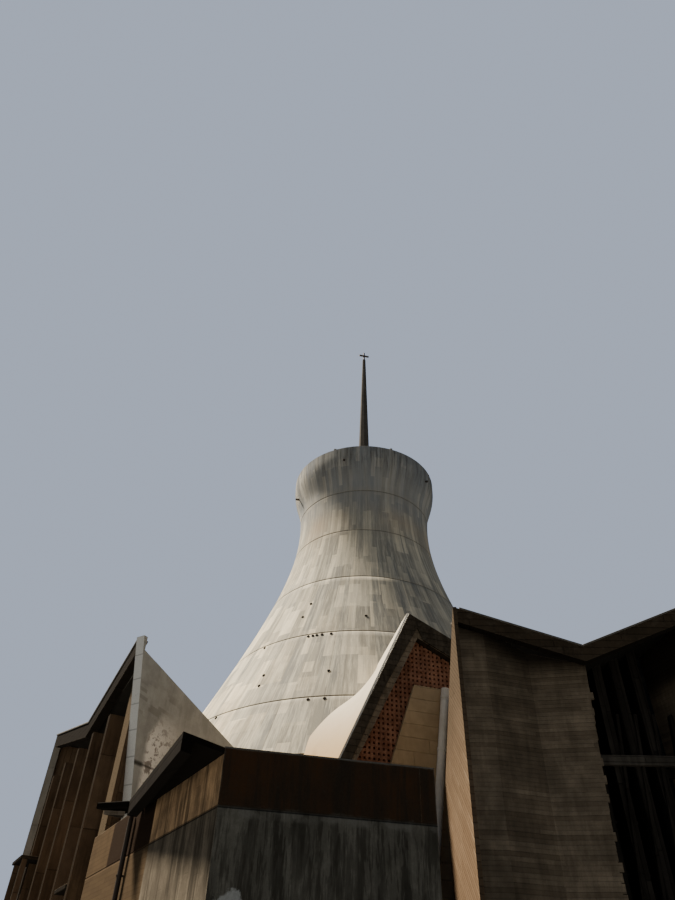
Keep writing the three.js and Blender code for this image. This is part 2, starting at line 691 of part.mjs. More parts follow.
const evenly = (first, last, count) =>
  Array.from({ length: count }, (_, i) => first + ((last - first) * i) / (count - 1));

// The left screen starts beside the end wall, and a jamb closes the corner between the two
const LEFT_START = 0.2;
const JAMB_END = -16.95;
const jambFront = -3.15;
const leftJamb = prism(
  [
    point(leftEndPeak.x, jambFront, 0),
    point(JAMB_END, jambFront, 0),
    point(JAMB_END, jambFront + FIN_WALL, 0),
    point(leftEndPeak.x, jambFront + FIN_WALL, 0),
  ],
  FLOOR + GAP,
  WALL_TOP,
);
const screenFins = evenly(FIRST_FIN, LAST_FIN, FIN_COUNT);
const buttress = (line, start, end) =>
  panel(
    line,
    upright(start, end, FLOOR + GAP, WALL_TOP),
    BUTTRESS_INSET,
    SCREEN_INSET + FIN_WALL - BUTTRESS_SET_BACK - BUTTRESS_INSET,
  );
const beyondLeftGable = panel(
  leftGableLine,
  upright(-REACH, leftGableLine.length + REACH, BELOW, SKY),
  -2 * REACH,
  2 * REACH + GABLE_WALL / 2 + GAP,
);
const leftLap = BUTTRESS_START + BUTTRESS_LAP;
const leftScreen = cut(
  join(
    finScreen(leftLine, SCREEN_INSET, LEFT_START, leftLap, screenFins, [SCREEN_TRANSOM], FIN_DEPTH, FIN_HEAD),
    buttress(leftLine, BUTTRESS_START, BUTTRESS_END),
    leftJamb,
  ),
  leftSurface.above,
  beyondLeftGable,
  endSpace(leftEndPeak),
);
const leftGlass = cut(
  glassSheet(leftLine, SCREEN_INSET, LEFT_START, leftLap),
  leftSurface.above,
  beyondLeftGable,
);

// The folded wall right of the wedge, with its return into the deep bay
const foldOne = point(6.42, -19.45, 0);
const foldTwo = point(7.85, -19.7, 0);
const FOLD_LEAN = 0.65; // how far the second face's free edge leans out towards its top
const FOLD_WALL = 0.35;
const FOLD_LAP = 0.1; // how far inside the second face its return starts
const foldLines = [planLine(wedgePeak, foldOne), planLine(foldOne, foldTwo)];
const foldTop = bayValley.z - FASCIA_DEPTH;
const bayBack = wedgePeak.y + BAY_INSET;
const foldedWall = cut(
  join(
    panel(foldLines[0], upright(0, foldLines[0].length, FLOOR + GAP, WALL_TOP), 0, FOLD_WALL),
    panel(
      foldLines[1],
      [
        [-FOLD_WALL / 2, FLOOR + GAP],
        [foldLines[1].length, FLOOR + GAP],
        [foldLines[1].length + FOLD_LEAN, foldTop],
        [foldLines[1].length + FOLD_LEAN, WALL_TOP],
        [-FOLD_WALL / 2, WALL_TOP],
      ],
      0,
      FOLD_WALL,
    ),
    prism(
      [
        point(foldTwo.x - FOLD_WALL, foldTwo.y + FOLD_LAP, 0),
        point(foldTwo.x, foldTwo.y + FOLD_LAP, 0),
        point(foldTwo.x, bayBack + FIN_WALL, 0),
        point(foldTwo.x - FOLD_WALL, bayBack + FIN_WALL, 0),
      ],
      FLOOR + GAP,
      SKY / 2,
    ),
  ),
  rightSurface.above,
  fasciaSpace(bayLine),
  wedgeSpace,
);

// The deep bay's screen, and the return wall behind the corner peak
const bayStart = foldTwo.x - wedgePeak.x + GAP;
const BAY_STOP = 1.17; // before the corner peak
const FIRST_BAY_FIN = 0.8;
const LAST_BAY_FIN = 1.1;
const bayEnd = bayLine.length - BAY_STOP;
const bayFins = evenly(bayStart + FIRST_BAY_FIN, bayEnd - LAST_BAY_FIN, BAY_FIN_COUNT);
const cornerReturn = planLine(cornerPeak, point(11.6, -16.4, 0));
const cornerWall = cut(
  panel(cornerReturn, upright(FASCIA_WALL, cornerReturn.length, FLOOR + GAP, WALL_TOP), -WALL / 2, WALL),
  rightSurface.above,
  fasciaSpace(bayLine),
  fasciaSpace(rightLine),
);
const cornerSpace = panel(
  cornerReturn,
  upright(-1, cornerReturn.length + 1, BELOW, SKY),
  -WALL / 2 - GAP,
  WALL + 2 * GAP,
);
const bayScreen = cut(
  finScreen(bayLine, BAY_INSET, bayStart, bayEnd, bayFins, BAY_TRANSOMS, BAY_FIN_DEPTH, WALL_TOP - FIN_WALL),
  rightSurface.above,
  cornerSpace,
);
const bayGlass = cut(glassSheet(bayLine, BAY_INSET, bayStart - FOLD_WALL, bayEnd), rightSurface.above, cornerSpace);

// The right end's screen mirrors the left one, and runs on behind the end wall's corner
const RIGHT_SPARE = 2.2; // past the corner, where the end wall cuts it
const rightEnd = rightLine.length + RIGHT_SPARE;
const rightLap = rightLine.length - leftLap;
const rightFins = screenFins.map((along) => rightLine.length - along).reverse();
const beyondCorner = panel(
  cornerReturn,
  upright(-REACH, cornerReturn.length + REACH, BELOW, SKY),
  -WALL / 2 - GAP,
  2 * REACH,
);
const rightScreen = cut(
  join(
    finScreen(rightLine, SCREEN_INSET, rightLap, rightEnd, rightFins, [SCREEN_TRANSOM], FIN_DEPTH, FIN_HEAD),
    buttress(rightLine, rightLine.length - BUTTRESS_END, rightLine.length - BUTTRESS_START),
  ),
  rightSurface.above,
  beyondCorner,
  fasciaSpace(bayLine),
  endSpace(rightEndPeak),
);
const rightGlass = cut(
  glassSheet(rightLine, SCREEN_INSET, rightLap, rightEnd),
  rightSurface.above,
  beyondCorner,
  endSpace(rightEndPeak),
);

// The annex block: a bent wall round three sides, a roof that rises to the tower, and a canopy
const annexLeftLine = planLine(annexHall, annexLeft);
const annexFrontLine = planLine(annexLeft, annexRight);
const annexRightLine = planLine(annexRight, annexBack);
const annexStart = 0.1;
const ANNEX_LEVEL = 0.8; // its right wall is level to here, and then rises with the roof
const annexRightOutline = [
  [0, FLOOR + GAP],
  [annexRightLine.length, FLOOR + GAP],
  [annexRightLine.length, GABLE_FOOT],
  [ANNEX_LEVEL, ANNEX_TOP],
  [0, ANNEX_TOP],
];
const annexWalls = cut(
  join(
    panel(annexLeftLine, upright(annexStart, annexLeftLine.length, FLOOR + GAP, ANNEX_TOP), 0, WALL),
    panel(annexFrontLine, upright(0, annexFrontLine.length, FLOOR + GAP, ANNEX_TOP), 0, WALL),
    panel(annexRightLine, annexRightOutline, 0, WALL),
  ),
  gableSpace,
  leftGableSpace,
  panel(leftLine, upright(-1, leftLine.length, BELOW, SKY), 0, SKY),
);
const annexSpace = join(
  ...[annexLeftLine, annexFrontLine, annexRightLine].map((line) =>
    panel(line, upright(-REACH, line.length + REACH, BELOW, SKY), -2 * REACH, 2 * REACH + WALL + GAP),
  ),
);
const annexRoof = cut(annexPlate, tower, annexSpace, gableSpace, leftGableSpace);
const canopyBack = placeOn(annexLeftLine, annexLeftLine.length - CANOPY_LENGTH);
const canopyLine = planLine(canopyOuterBack, canopyOuterFront);
const annexCanopy = cut(
  prism([canopyOuterFront, annexLeft, canopyBack, canopyOuterBack], ANNEX_TOP - CANOPY_DEPTH, ANNEX_TOP),
  panel(canopyLine, upright(-REACH, canopyLine.length + REACH, BELOW, ANNEX_TOP - CANOPY_SLAB), CANOPY_BEAM, SKY),
  panel(annexLeftLine, upright(-REACH, annexLeftLine.length + REACH, BELOW, SKY), -GAP, REACH),
);

// The floor under the walls, out to their outer faces and under the rain pipe
const NOOK_FLOOR = 0.4; // how far it runs out before the middle gable's wall
function floorSlab() {
  const nook = [gableWallStart, gableWallEnd].map((along) => placeOn(gableLine, along, PANEL_INSET - NOOK_FLOOR));
  const half = [leftEndPeak, leftPeak, annexLeft, annexRight, ...nook, wedgePeak, cornerPeak, rightEndPeak];
  const back = half.map((p) => point(p.x, -p.y, 0)).reverse();
  return prism([...half, ...back], 0, FLOOR);
}

// A round rain pipe rakes down the middle gable's wall into the nook, and is cut level on the floor
const PIPE_RADIUS = 0.19;
const PIPE_CLEAR = 0.01; // between the pipe and the wall
const PIPE_FOOT = [-0.39, -0.3]; // along the gable's line, and height
const PIPE_HEAD = [1.73, 14.4];
function rainPipe() {
  const [foot, head] = [PIPE_FOOT, PIPE_HEAD].map(([along, height]) =>
    placeOn(gableLine, along, PANEL_INSET - PIPE_RADIUS - PIPE_CLEAR).setZ(height),
  );
  const ground = new THREE.BoxGeometry(SKY, SKY, REACH).translate(0, 0, FLOOR + GAP - REACH / 2);
  return cut(taperedBar(foot, head, PIPE_RADIUS, PIPE_RADIUS, 12), solidOf(ground));
}

const finish = (color, roughness, metalness = 0) =>
  new THREE.MeshStandardMaterial({ color, roughness, metalness, flatShading: true });
const paleConcrete = finish(0xcbc6b8, 0.85);
const darkConcrete = finish(0x4f473c, 0.9);
const brownConcrete = finish(0x7a6248, 0.88);
const roofConcrete = finish(0x6d675c, 0.9);
const steel = finish(0x5c5d60, 0.5, 0.6);
const tile = finish(0x7c3b22, 0.8);
const glass = finish(0x1d2326, 0.2);

function meshOf(name, solid, material) {
  const { numProp, vertProperties, triVerts } = solid.getMesh();
  const positions = new Float32Array((vertProperties.length / numProp) * 3);
  for (let i = 0; i < positions.length / 3; i++) {
    for (let k = 0; k < 3; k++) positions[i * 3 + k] = vertProperties[i * numProp + k] * MM;
  }
  const geometry = new THREE.BufferGeometry();
  geometry.setAttribute("position", new THREE.BufferAttribute(positions, 3));
  geometry.setIndex(Array.from(triVerts));
  geometry.computeVertexNormals();
  const mesh = new THREE.Mesh(geometry, material);
  mesh.name = name;
  return mesh;
}

const church = new THREE.Group();
church.name = "church";

// Each piece of the front half is made again behind the long axis, as its mirror image
const halfPieces = [
  ["left_fascia", leftFascia, darkConcrete],
  ["left_fin_screen", leftScreen, brownConcrete],
  ["left_glazing", leftGlass, glass],
  ["left_gable_wall", leftGableWall, paleConcrete],
  ["left_roof", leftRoof, roofConcrete],
  ["wedge_wall", wedgeWall, brownConcrete],
  ["folded_wall", foldedWall, brownConcrete],
  ["bay_screen", bayScreen, darkConcrete],
  ["bay_glazing", bayGlass, glass],
  ["bay_fascia", bayFascia, darkConcrete],
  ["corner_wall", cornerWall, brownConcrete],
  ["right_fin_screen", rightScreen, brownConcrete],
  ["right_glazing", rightGlass, glass],
  ["right_fascia", rightFascia, darkConcrete],
  ["right_roof", rightRoof, roofConcrete],
  ["gable_frame", gableFrame, darkConcrete],
  ["gable_wall", gableWall, brownConcrete],
  ["gable_tile_screen", gableTiles, tile],
  ["gable_roof", gableRoof, paleConcrete],
  ["annex_walls", annexWalls, darkConcrete],
  ["annex_roof", annexRoof, roofConcrete],
  ["annex_canopy", annexCanopy, darkConcrete],
];
const front = new THREE.Group();
const back = new THREE.Group();
back.scale.y = -1;
for (const [name, solid, material] of halfPieces) {
  front.add(meshOf(`${name}_front`, solid, material));
  back.add(meshOf(`${name}_back`, solid, material));
}
church.add(front, back);

const lantern = new THREE.Group();
LIFT_JOINTS.slice(0, -1).forEach((bottom, i) => {
  lantern.add(meshOf(`tower_lift_${i + 1}`, towerLift(bottom, LIFT_JOINTS[i + 1]), paleConcrete));
});
lantern.add(meshOf("ring_beam_and_piers", ringAndPiers(), paleConcrete));
lantern.add(meshOf("tower_cap", towerCap(), roofConcrete));
lantern.add(meshOf("spire", spire(), darkConcrete));
lantern.add(meshOf("cross", cross(), steel));
church.add(lantern);

church.add(meshOf("floor_slab", floorSlab(), darkConcrete));
church.add(meshOf("left_end_wall", endWall(leftEndPeak, leftEndMiddle, true), paleConcrete));
church.add(meshOf("right_end_wall", endWall(rightEndPeak, rightEndMiddle, false), paleConcrete));
church.add(meshOf("rain_pipe", rainPipe(), steel));

export default church;
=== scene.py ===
"""The looks of a modern concrete church with a hyperboloid tower, built round its packed half-size model.

Sizes are in metres of the real building unless a comment says otherwise, and the mesh writer halves them.
"""

import math

import bpy
import numpy as np
from mathutils import Matrix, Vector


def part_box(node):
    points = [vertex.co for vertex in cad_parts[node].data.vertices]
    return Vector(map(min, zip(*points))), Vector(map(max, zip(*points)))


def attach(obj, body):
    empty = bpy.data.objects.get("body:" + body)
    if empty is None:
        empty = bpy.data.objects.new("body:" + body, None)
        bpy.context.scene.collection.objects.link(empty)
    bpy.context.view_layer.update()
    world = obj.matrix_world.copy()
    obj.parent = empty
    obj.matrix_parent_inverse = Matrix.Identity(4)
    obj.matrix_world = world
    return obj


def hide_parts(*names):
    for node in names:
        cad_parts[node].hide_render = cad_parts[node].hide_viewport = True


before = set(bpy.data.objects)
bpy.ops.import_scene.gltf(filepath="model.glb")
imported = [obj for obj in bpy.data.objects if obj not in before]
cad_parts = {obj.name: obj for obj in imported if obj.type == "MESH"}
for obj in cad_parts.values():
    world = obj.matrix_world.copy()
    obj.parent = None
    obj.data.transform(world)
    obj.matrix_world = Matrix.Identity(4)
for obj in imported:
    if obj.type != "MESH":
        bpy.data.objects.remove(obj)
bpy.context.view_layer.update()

SCALE = 0.5  # model size over real size
rng = np.random.default_rng(7)

# Corners of the front half, as the model's roof edges have them
LEFT_END_MIDDLE = (-18.5, 0.0, 13.6)
LEFT_END_PEAK = (-18.5, -3.4, 15.1)
LEFT_VALLEY = (-13.5, -11.5, 13.1)
LEFT_PEAK = (-9.8, -17.5, 14.8)
LEFT_RIDGE = (-9.8, -17.5, 14.3)
WEDGE_PEAK = (3.55, -20.45, 14.8)
BAY_VALLEY = (8.34, -20.45, 13.2)
CORNER_PEAK = (13.17, -20.45, 15.15)
RIGHT_VALLEY = (16.87, -14.45, 13.1)
RIGHT_END_PEAK = (21.87, -6.35, 15.1)
RIGHT_END_MIDDLE = (21.87, 0.0, 13.4)
LEFT_ROOTS = ((-11.5, 0.0, 12.6), (-11.3, -2.1, 13.3), (-9.3, -7.9, 11.9), (-5.9, -10.5, 11.75))
RIGHT_ROOTS = (
    (5.2, -10.4, 13.3),
    (6.3, -9.3, 11.8),
    (7.9, -8.2, 13.0),
    (9.6, -6.4, 11.9),
    (11.0, -2.6, 13.2),
    (11.6, 0.0, 12.2),
)
GABLE_PEAK = (2.27, -13.7, 18.0)
GABLE_BEARING = math.radians(20)
GABLE_WIDTH = 4.2
ANNEX_HALL = (-9.8, -17.5, 6.5)
ANNEX_LEFT = (-3.35, -28.0, 6.4)
ANNEX_RIGHT = (1.8, -26.6, 6.4)
FOLD_ONE = (6.42, -19.45)
FOLD_TWO = (7.85, -19.7)
FOLD_LEAN = 0.65

# Thicknesses and insets of the model's walls, roofs and screens
FLOOR = 0.3
WALL = 0.4
ROOF_DEPTH = 0.3
FASCIA_DEPTH = 0.6
FASCIA_WALL = 0.4
SCREEN_INSET = 1.3
BAY_INSET = 2.9
FIN_WALL = 0.35
FIN_COUNT = 5
FIRST_FIN = 2.7
LAST_FIN = 13.8
SCREEN_START = 0.2
BUTTRESS_START = 15.1
SILL = 1.3
TRANSOM_LEVELS = np.arange(2.9, 14.0, 1.65)
DOORWAY_HALF = 1.3
ANNEX_TOP = 6.9
CANOPY_SLAB = 0.14

# The tower's shell
NECK_RADIUS = 5.04
NECK_HEIGHT = 31.75
SPREAD = 0.6
FLARE_START = 33.0
FLARE_END = 35.8
RIM_RADIUS = 5.7
SHELL_WALL = 0.3
LIFT_COUNT = 6


# Plan lines and meshes


def plan_line(start, end):
    """A plan line as (start, unit direction, length), with the outside on its right."""
    start, end = np.array(start[:2], float), np.array(end[:2], float)
    run = end - start
    length = float(np.hypot(*run))
    return start, run / length, length


def outward(line):
    """The level direction that a plan line's outside looks towards."""
    return line[1][1], -line[1][0], 0.0


def place(line, along, inset, height):
    """Points that lie a distance along a line, an inset to its left and a height up, as whole arrays."""
    start, direction, _ = line
    along, inset, height = np.broadcast_arrays(*(np.asarray(part, float) for part in (along, inset, height)))
    x = start[0] + direction[0] * along - direction[1] * inset
    y = start[1] + direction[1] * along + direction[0] * inset
    return np.stack([x, y, height], axis=-1)


def add_piece(name, points, faces, material, slot, sharp=None, bevel=0.0):
    """A mesh from points in real metres and faces as index lists, which rides on the building.

    A sharp angle in degrees smooths the faces, apart from edges that turn by more than it.
    """
    mesh = bpy.data.meshes.new(name)
    points = np.asarray(points, float).reshape(-1, 3) * SCALE
    mesh.from_pydata(points.tolist(), [], [list(map(int, face)) for face in faces])
    mesh.polygons.foreach_set("use_smooth", np.full(len(mesh.polygons), sharp is not None))
    if sharp is not None:
        mesh.set_sharp_from_angle(angle=math.radians(sharp))
    mesh.materials.append(material)
    piece = bpy.data.objects.new(name, mesh)
    bpy.context.scene.collection.objects.link(piece)
    if bevel:
        edge = piece.modifiers.new("Edge", "BEVEL")
        edge.width = bevel * SCALE
        edge.segments = 1
        edge.limit_method = "ANGLE"
    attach(piece, "root")
    return piece


def mirrored(name, points, faces, material, slot, **options):
    """The same piece on the front half and, reflected in the long axis, on the back half."""
    made = []
    for side, sign in (("front", 1), ("back", -1)):
        turned = np.asarray(points, float) * (1, sign, 1)
        order = faces if sign == 1 else [list(face)[::-1] for face in faces]
        made.append(add_piece(f"{name}_{side}", turned, order, material, slot, **options))
    return made


BLOCK_FACES = np.array([[0, 3, 2, 1], [4, 5, 6, 7], [0, 1, 5, 4], [1, 2, 6, 5], [2, 3, 7, 6], [3, 0, 4, 7]])


def many_faces(count):
    """The six faces of each of a number of blocks, whose corners follow each other in eights."""
    return (BLOCK_FACES[None] + 8 * np.arange(count)[:, None, None]).reshape(-1, 4)


def blocks(line, along, inset, low, high):
    """Upright blocks on a line.

    Along and inset are pairs or (count, 2) arrays. Low and high are the same, with a height for each end of a
    block, or one height for all.
    """
    along, inset, low, high = (np.atleast_2d(np.asarray(part, float)) for part in (along, inset, low, high))
    count = max(len(along), len(inset), len(low), len(high))
    along, inset, low, high = (np.broadcast_to(part, (count, 2)) for part in (along, inset, low, high))
    end = np.array([0, 1, 1, 0, 0, 1, 1, 0])
    side = np.array([0, 0, 1, 1, 0, 0, 1, 1])
    upper = np.array([0, 0, 0, 0, 1, 1, 1, 1], bool)
    heights = np.where(upper, high[:, end], low[:, end])
    return place(line, along[:, end], inset[:, side], heights).reshape(-1, 3), many_faces(count)


def bars(starts, ends, width, depth, facing):
    """Square bars between places: each end is a rectangle whose depth lies along the facing direction."""
    starts, ends = np.atleast_2d(np.asarray(starts, float)), np.atleast_2d(np.asarray(ends, float))
    facing = np.broadcast_to(np.asarray(facing, float), starts.shape)
    axis = ends - starts
    side = np.cross(axis, facing)
    side = side / np.linalg.norm(side, axis=1, keepdims=True) * width / 2
    deep = np.cross(side, axis)
    deep = deep / np.linalg.norm(deep, axis=1, keepdims=True) * depth / 2
    corners = [-side - deep, side - deep, side + deep, -side + deep]
    points = np.stack([starts + c for c in corners] + [ends + c for c in corners], axis=1)
    return points.reshape(-1, 3), many_faces(len(starts))[:, ::-1]


def slab(line, outline, inset, thickness):
    """An upright slab whose face is an outline of (along, height), from an inset inwards."""
    outline = np.asarray(outline, float)
    count = len(outline)
    outer = place(line, outline[:, 0], inset, outline[:, 1])
    inner = place(line, outline[:, 0], inset + thickness, outline[:, 1])
    ring = np.arange(count)
    after = (ring + 1) % count
    sides = np.stack([ring, ring + count, after + count, after], axis=1).tolist()
    return np.concatenate([outer, inner]), [ring.tolist(), (ring[::-1] + count).tolist(), *sides]


def plan_slab(outline, low, high):
    """A level slab: a plan outline, anticlockwise from above, between two heights."""
    outline = np.asarray(outline, float)
    count = len(outline)
    lower = np.column_stack([outline, np.full(count, low)])
    upper = np.column_stack([outline, np.full(count, high)])
    ring = np.arange(count)
    after = (ring + 1) % count
    sides = np.stack([ring, after, after + count, ring + count], axis=1).tolist()
    return np.concatenate([lower, upper]), [ring[::-1].tolist(), (ring + count).tolist(), *sides]


def grid_faces(rows, columns, wrap_rows=False, wrap_columns=False):
    """The four-sided faces of a grid of points, which may close on itself either way."""
    i = np.arange(rows if wrap_rows else rows - 1)[:, None]
    j = np.arange(columns if wrap_columns else columns - 1)[None, :]
    after_i, after_j = (i + 1) % rows * columns, (j + 1) % columns
    i = i * columns
    return np.stack([i + j, i + after_j, after_i + after_j, after_i + j], axis=-1).reshape(-1, 4)


def lathe(radius, height, sectors):
    """A closed profile of radius and height turned round the tower's axis."""
    turn = np.linspace(0, 2 * np.pi, sectors, endpoint=False)[:, None]
    heights = np.broadcast_to(height, (sectors, len(height)))
    points = np.stack([radius * np.cos(turn), radius * np.sin(turn), heights], -1)
    return points.reshape(-1, 3), grid_faces(sectors, len(height), True, True)


def tube(start, end, radius, sides, stations=2):
    """A closed round bar between two places: a circle carried along the straight line between them."""
    start, end = np.asarray(start, float), np.asarray(end, float)
    axis = (end - start) / np.linalg.norm(end - start)
    first = np.cross(axis, (0.36, 0.48, 0.8))
    first /= np.linalg.norm(first)
    second = np.cross(axis, first)
    turn = np.linspace(0, 2 * np.pi, sides, endpoint=False)
    ring = (np.cos(turn)[:, None] * first + np.sin(turn)[:, None] * second) * radius
    spine = start + np.linspace(0, 1, stations)[:, None] * (end - start)
    points = (spine[:, None] + ring[None]).reshape(-1, 3)
    faces = grid_faces(stations, sides, False, True).tolist()
    cap = list(range(sides))
    return points, faces + [cap[::-1], [(stations - 1) * sides + i for i in cap]]


def joined(*parts):
    """Several (points, faces) pairs as one pair."""
    points, faces, count = [], [], 0
    for some_points, some_faces in parts:
        points.append(np.asarray(some_points, float).reshape(-1, 3))
        faces += [[int(i) + count for i in face] for face in some_faces]
        count += len(points[-1])
    return np.concatenate(points), faces


def roof_height(x, y, edge, roots):
    """The folded roof's height over plan places: the plane of whichever of its triangles each lies in."""
    x, y = np.broadcast_arrays(np.asarray(x, float), np.asarray(y, float))
    height = np.full(x.shape, np.nan)
    for i in range(len(edge) - 1):
        for a, b, c in ((edge[i], edge[i + 1], roots[i + 1]), (edge[i], roots[i + 1], roots[i])):
            split = (b[1] - c[1]) * (a[0] - c[0]) + (c[0] - b[0]) * (a[1] - c[1])
            u = ((b[1] - c[1]) * (x - c[0]) + (c[0] - b[0]) * (y - c[1])) / split
            v = ((c[1] - a[1]) * (x - c[0]) + (a[0] - c[0]) * (y - c[1])) / split
            inside = (u >= -1e-6) & (v >= -1e-6) & (u + v <= 1 + 1e-6)
            height = np.where(inside, u * a[2] + v * b[2] + (1 - u - v) * c[2], height)
    return height


LEFT_EDGE = (LEFT_END_MIDDLE, LEFT_END_PEAK, LEFT_VALLEY, LEFT_RIDGE)
RIGHT_EDGE = (WEDGE_PEAK, BAY_VALLEY, CORNER_PEAK, RIGHT_VALLEY, RIGHT_END_PEAK, RIGHT_END_MIDDLE)


def under_roof(line, along, inset, edge, roots):
    """The height halfway into the roof's slab over places on a line, where bars may end unseen."""
    spots = place(line, along, inset, 0)
    return roof_height(spots[..., 0], spots[..., 1], edge, roots) - ROOF_DEPTH / 2


left_line = plan_line(LEFT_END_PEAK, LEFT_PEAK)
bay_line = plan_line(WEDGE_PEAK, CORNER_PEAK)
right_line = plan_line(CORNER_PEAK, RIGHT_END_PEAK)
gable_run = np.array([math.cos(GABLE_BEARING), math.sin(GABLE_BEARING)])
gable_line = (np.array(GABLE_PEAK[:2]), gable_run, GABLE_WIDTH)
left_gable_line = plan_line(LEFT_PEAK, LEFT_ROOTS[3])
annex_left_line = plan_line(ANNEX_HALL, ANNEX_LEFT)
annex_front_line = plan_line(ANNEX_LEFT, ANNEX_RIGHT)
fold_two_line = plan_line(FOLD_ONE, FOLD_TWO)


# Shader graphs


class Graph:
    """Short calls that add nodes to a tree and return their outputs."""

    def __init__(self, tree):
        self.tree = tree

    def node(self, kind, **settings):
        made = self.tree.nodes.new(kind)
        for key, value in settings.items():
            setattr(made, key, value)
        return made

    def feed(self, socket, value):
        """Links an output to a socket, or sets a constant on the socket itself."""
        if isinstance(value, bpy.types.NodeSocket):
            self.tree.links.new(value, socket)
        elif isinstance(value, (tuple, list)) and socket.type == "RGBA" and len(value) == 3:
            socket.default_value = (*value, 1.0)
        else:
            socket.default_value = value

    def math(self, operation, *values, clamp=False):
        made = self.node("ShaderNodeMath", operation=operation, use_clamp=clamp)
        for socket, value in zip(made.inputs, values):
            self.feed(socket, value)
        return made.outputs[0]

    def plus(self, first, second):
        return self.math("ADD", first, second)

    def minus(self, first, second):
        return self.math("SUBTRACT", first, second)

    def over(self, first, second):
        return self.math("DIVIDE", first, second)

    def most(self, first, second):
        return self.math("MAXIMUM", first, second)

    def times(self, product, *factors):
        for factor in factors:
            product = self.math("MULTIPLY", product, factor)
        return product

    def rest(self, share):
        """What a share leaves of the whole."""
        return self.minus(1.0, share)

    def apart(self, first, second):
        """How far two values lie from each other."""
        return self.math("ABSOLUTE", self.minus(first, second))

    def vector(self, operation, first, second):
        made = self.node("ShaderNodeVectorMath", operation=operation)
        self.feed(made.inputs[0], first)
        self.feed(made.inputs["Scale"] if operation == "SCALE" else made.inputs[1], second)
        return made.outputs["Value"] if operation == "DOT_PRODUCT" else made.outputs[0]

    def combine(self, x, y, z=0.0):
        made = self.node("ShaderNodeCombineXYZ")
        for socket, value in zip(made.inputs, (x, y, z)):
            self.feed(socket, value)
        return made.outputs[0]

    def split(self, vector):
        made = self.node("ShaderNodeSeparateXYZ")
        self.feed(made.inputs[0], vector)
        return made.outputs

    def noise(self, vector, scale, detail=3.0, rough=0.5):
        made = self.node("ShaderNodeTexNoise")
        for label, value in (("Vector", vector), ("Scale", scale), ("Detail", detail), ("Roughness", rough)):
            self.feed(made.inputs[label], value)
        return made.outputs[0]

    def random(self, vector):
        made = self.node("ShaderNodeTexWhiteNoise", noise_dimensions="3D")
        self.feed(made.inputs["Vector"], vector)
        return made.outputs["Value"]

    def smooth(self, value, low, high, start=0.0, end=1.0):
        """A soft step from a start at one value to an end at another."""
        made = self.node("ShaderNodeMapRange", interpolation_type="SMOOTHSTEP")
        for socket, part in zip(made.inputs, (value, low, high, start, end)):
            self.feed(socket, part)
        return made.outputs[0]

    def fade(self, value, low, high):
        """A mask that is whole up to a low value and gone from a high one on."""
        return self.smooth(value, low, high, 1.0, 0.0)

    def mix(self, share, first, second):
        made = self.node("ShaderNodeMix", data_type="RGBA", clamp_factor=True)
        for socket, value in zip((made.inputs[0], made.inputs[6], made.inputs[7]), (share, first, second)):
            self.feed(socket, value)
        return made.outputs[2]

    def group(self, tree, **inputs):
        made = self.node("ShaderNodeGroup", node_tree=tree)
        for label, value in inputs.items():
            self.feed(made.inputs[label.replace("_", " ")], value)
        return made.outputs


def new_group(name, inputs, outputs):
    """An empty node group: (tree, graph, inputs, output node).

    Inputs give each label its default, with None for a vector. Outputs are labels of plain values.
    """
    tree = bpy.data.node_groups.new(name, "ShaderNodeTree")
    for label, value in inputs.items():
        kind = "NodeSocketVector" if value is None else "NodeSocketFloat"
        socket = tree.interface.new_socket(label, in_out="INPUT", socket_type=kind)
        if value is not None:
            socket.default_value = value
    for label in outputs:
        tree.interface.new_socket(label, in_out="OUTPUT", socket_type="NodeSocketFloat")
    graph = Graph(tree)
    return tree, graph, graph.node("NodeGroupInput").outputs, graph.node("NodeGroupOutput")


def board_marks_group():
    """Shuttering boards in rows, each cut into lengths, with a tone for each board and a seam between."""
    tree, graph, given, out = new_group(
        "Board marks",
        {"Along": 0.0, "Across": 0.0, "Width": 0.3, "Length": 3.0, "Seam": 0.02},
        ("Tone", "Line"),
    )
    row_seed, board_seed = 3.7, 1.3
    rows = graph.over(given["Across"], given["Width"])
    row = graph.math("FLOOR", rows)
    shift = graph.random(graph.combine(row, row_seed))
    lengths = graph.plus(graph.over(given["Along"], given["Length"]), graph.times(shift, 5.0))
    column = graph.math("FLOOR", lengths)
    graph.feed(out.inputs["Tone"], graph.random(graph.combine(row, column, board_seed)))
    distances = []
    for value, size in ((rows, given["Width"]), (lengths, given["Length"])):
        part = graph.math("FRACT", value)
        nearest = graph.math("MINIMUM", part, graph.rest(part))
        distances.append(graph.times(nearest, size))
    line = graph.fade(graph.math("MINIMUM", *distances), 0.0, given["Seam"])
    graph.feed(out.inputs["Line"], line)
    return tree


def stains_group():
    """Weather on concrete: rain streaks that run down, and soft patches of old and new surface."""
    tree, graph, given, out = new_group(
        "Weather stains",
        {"Vector": None, "Streak Width": 0.4, "Streak Reach": 8.0, "Patch Size": 3.0},
        ("Streaks", "Patches", "Clouds"),
    )
    x, y, z = graph.split(given["Vector"])
    squeezed = graph.combine(x, y, graph.over(z, given["Streak Reach"]))
    wide = graph.noise(squeezed, graph.over(0.5, given["Streak Width"]), 4.0, 0.6)
    fine = graph.noise(squeezed, graph.over(2.2, given["Streak Width"]), 3.0, 0.6)
    both = graph.plus(graph.times(wide, 0.6), graph.times(fine, 0.4))
    graph.feed(out.inputs["Streaks"], graph.smooth(both, 0.44, 0.62))
    patches = graph.noise(given["Vector"], graph.over(1.0, given["Patch Size"]), 5.0, 0.55)
    graph.feed(out.inputs["Patches"], graph.smooth(patches, 0.38, 0.64))
    clouds = graph.noise(given["Vector"], graph.over(4.0, given["Patch Size"]), 6.0, 0.65)
    graph.feed(out.inputs["Clouds"], graph.smooth(clouds, 0.3, 0.7))
    return tree


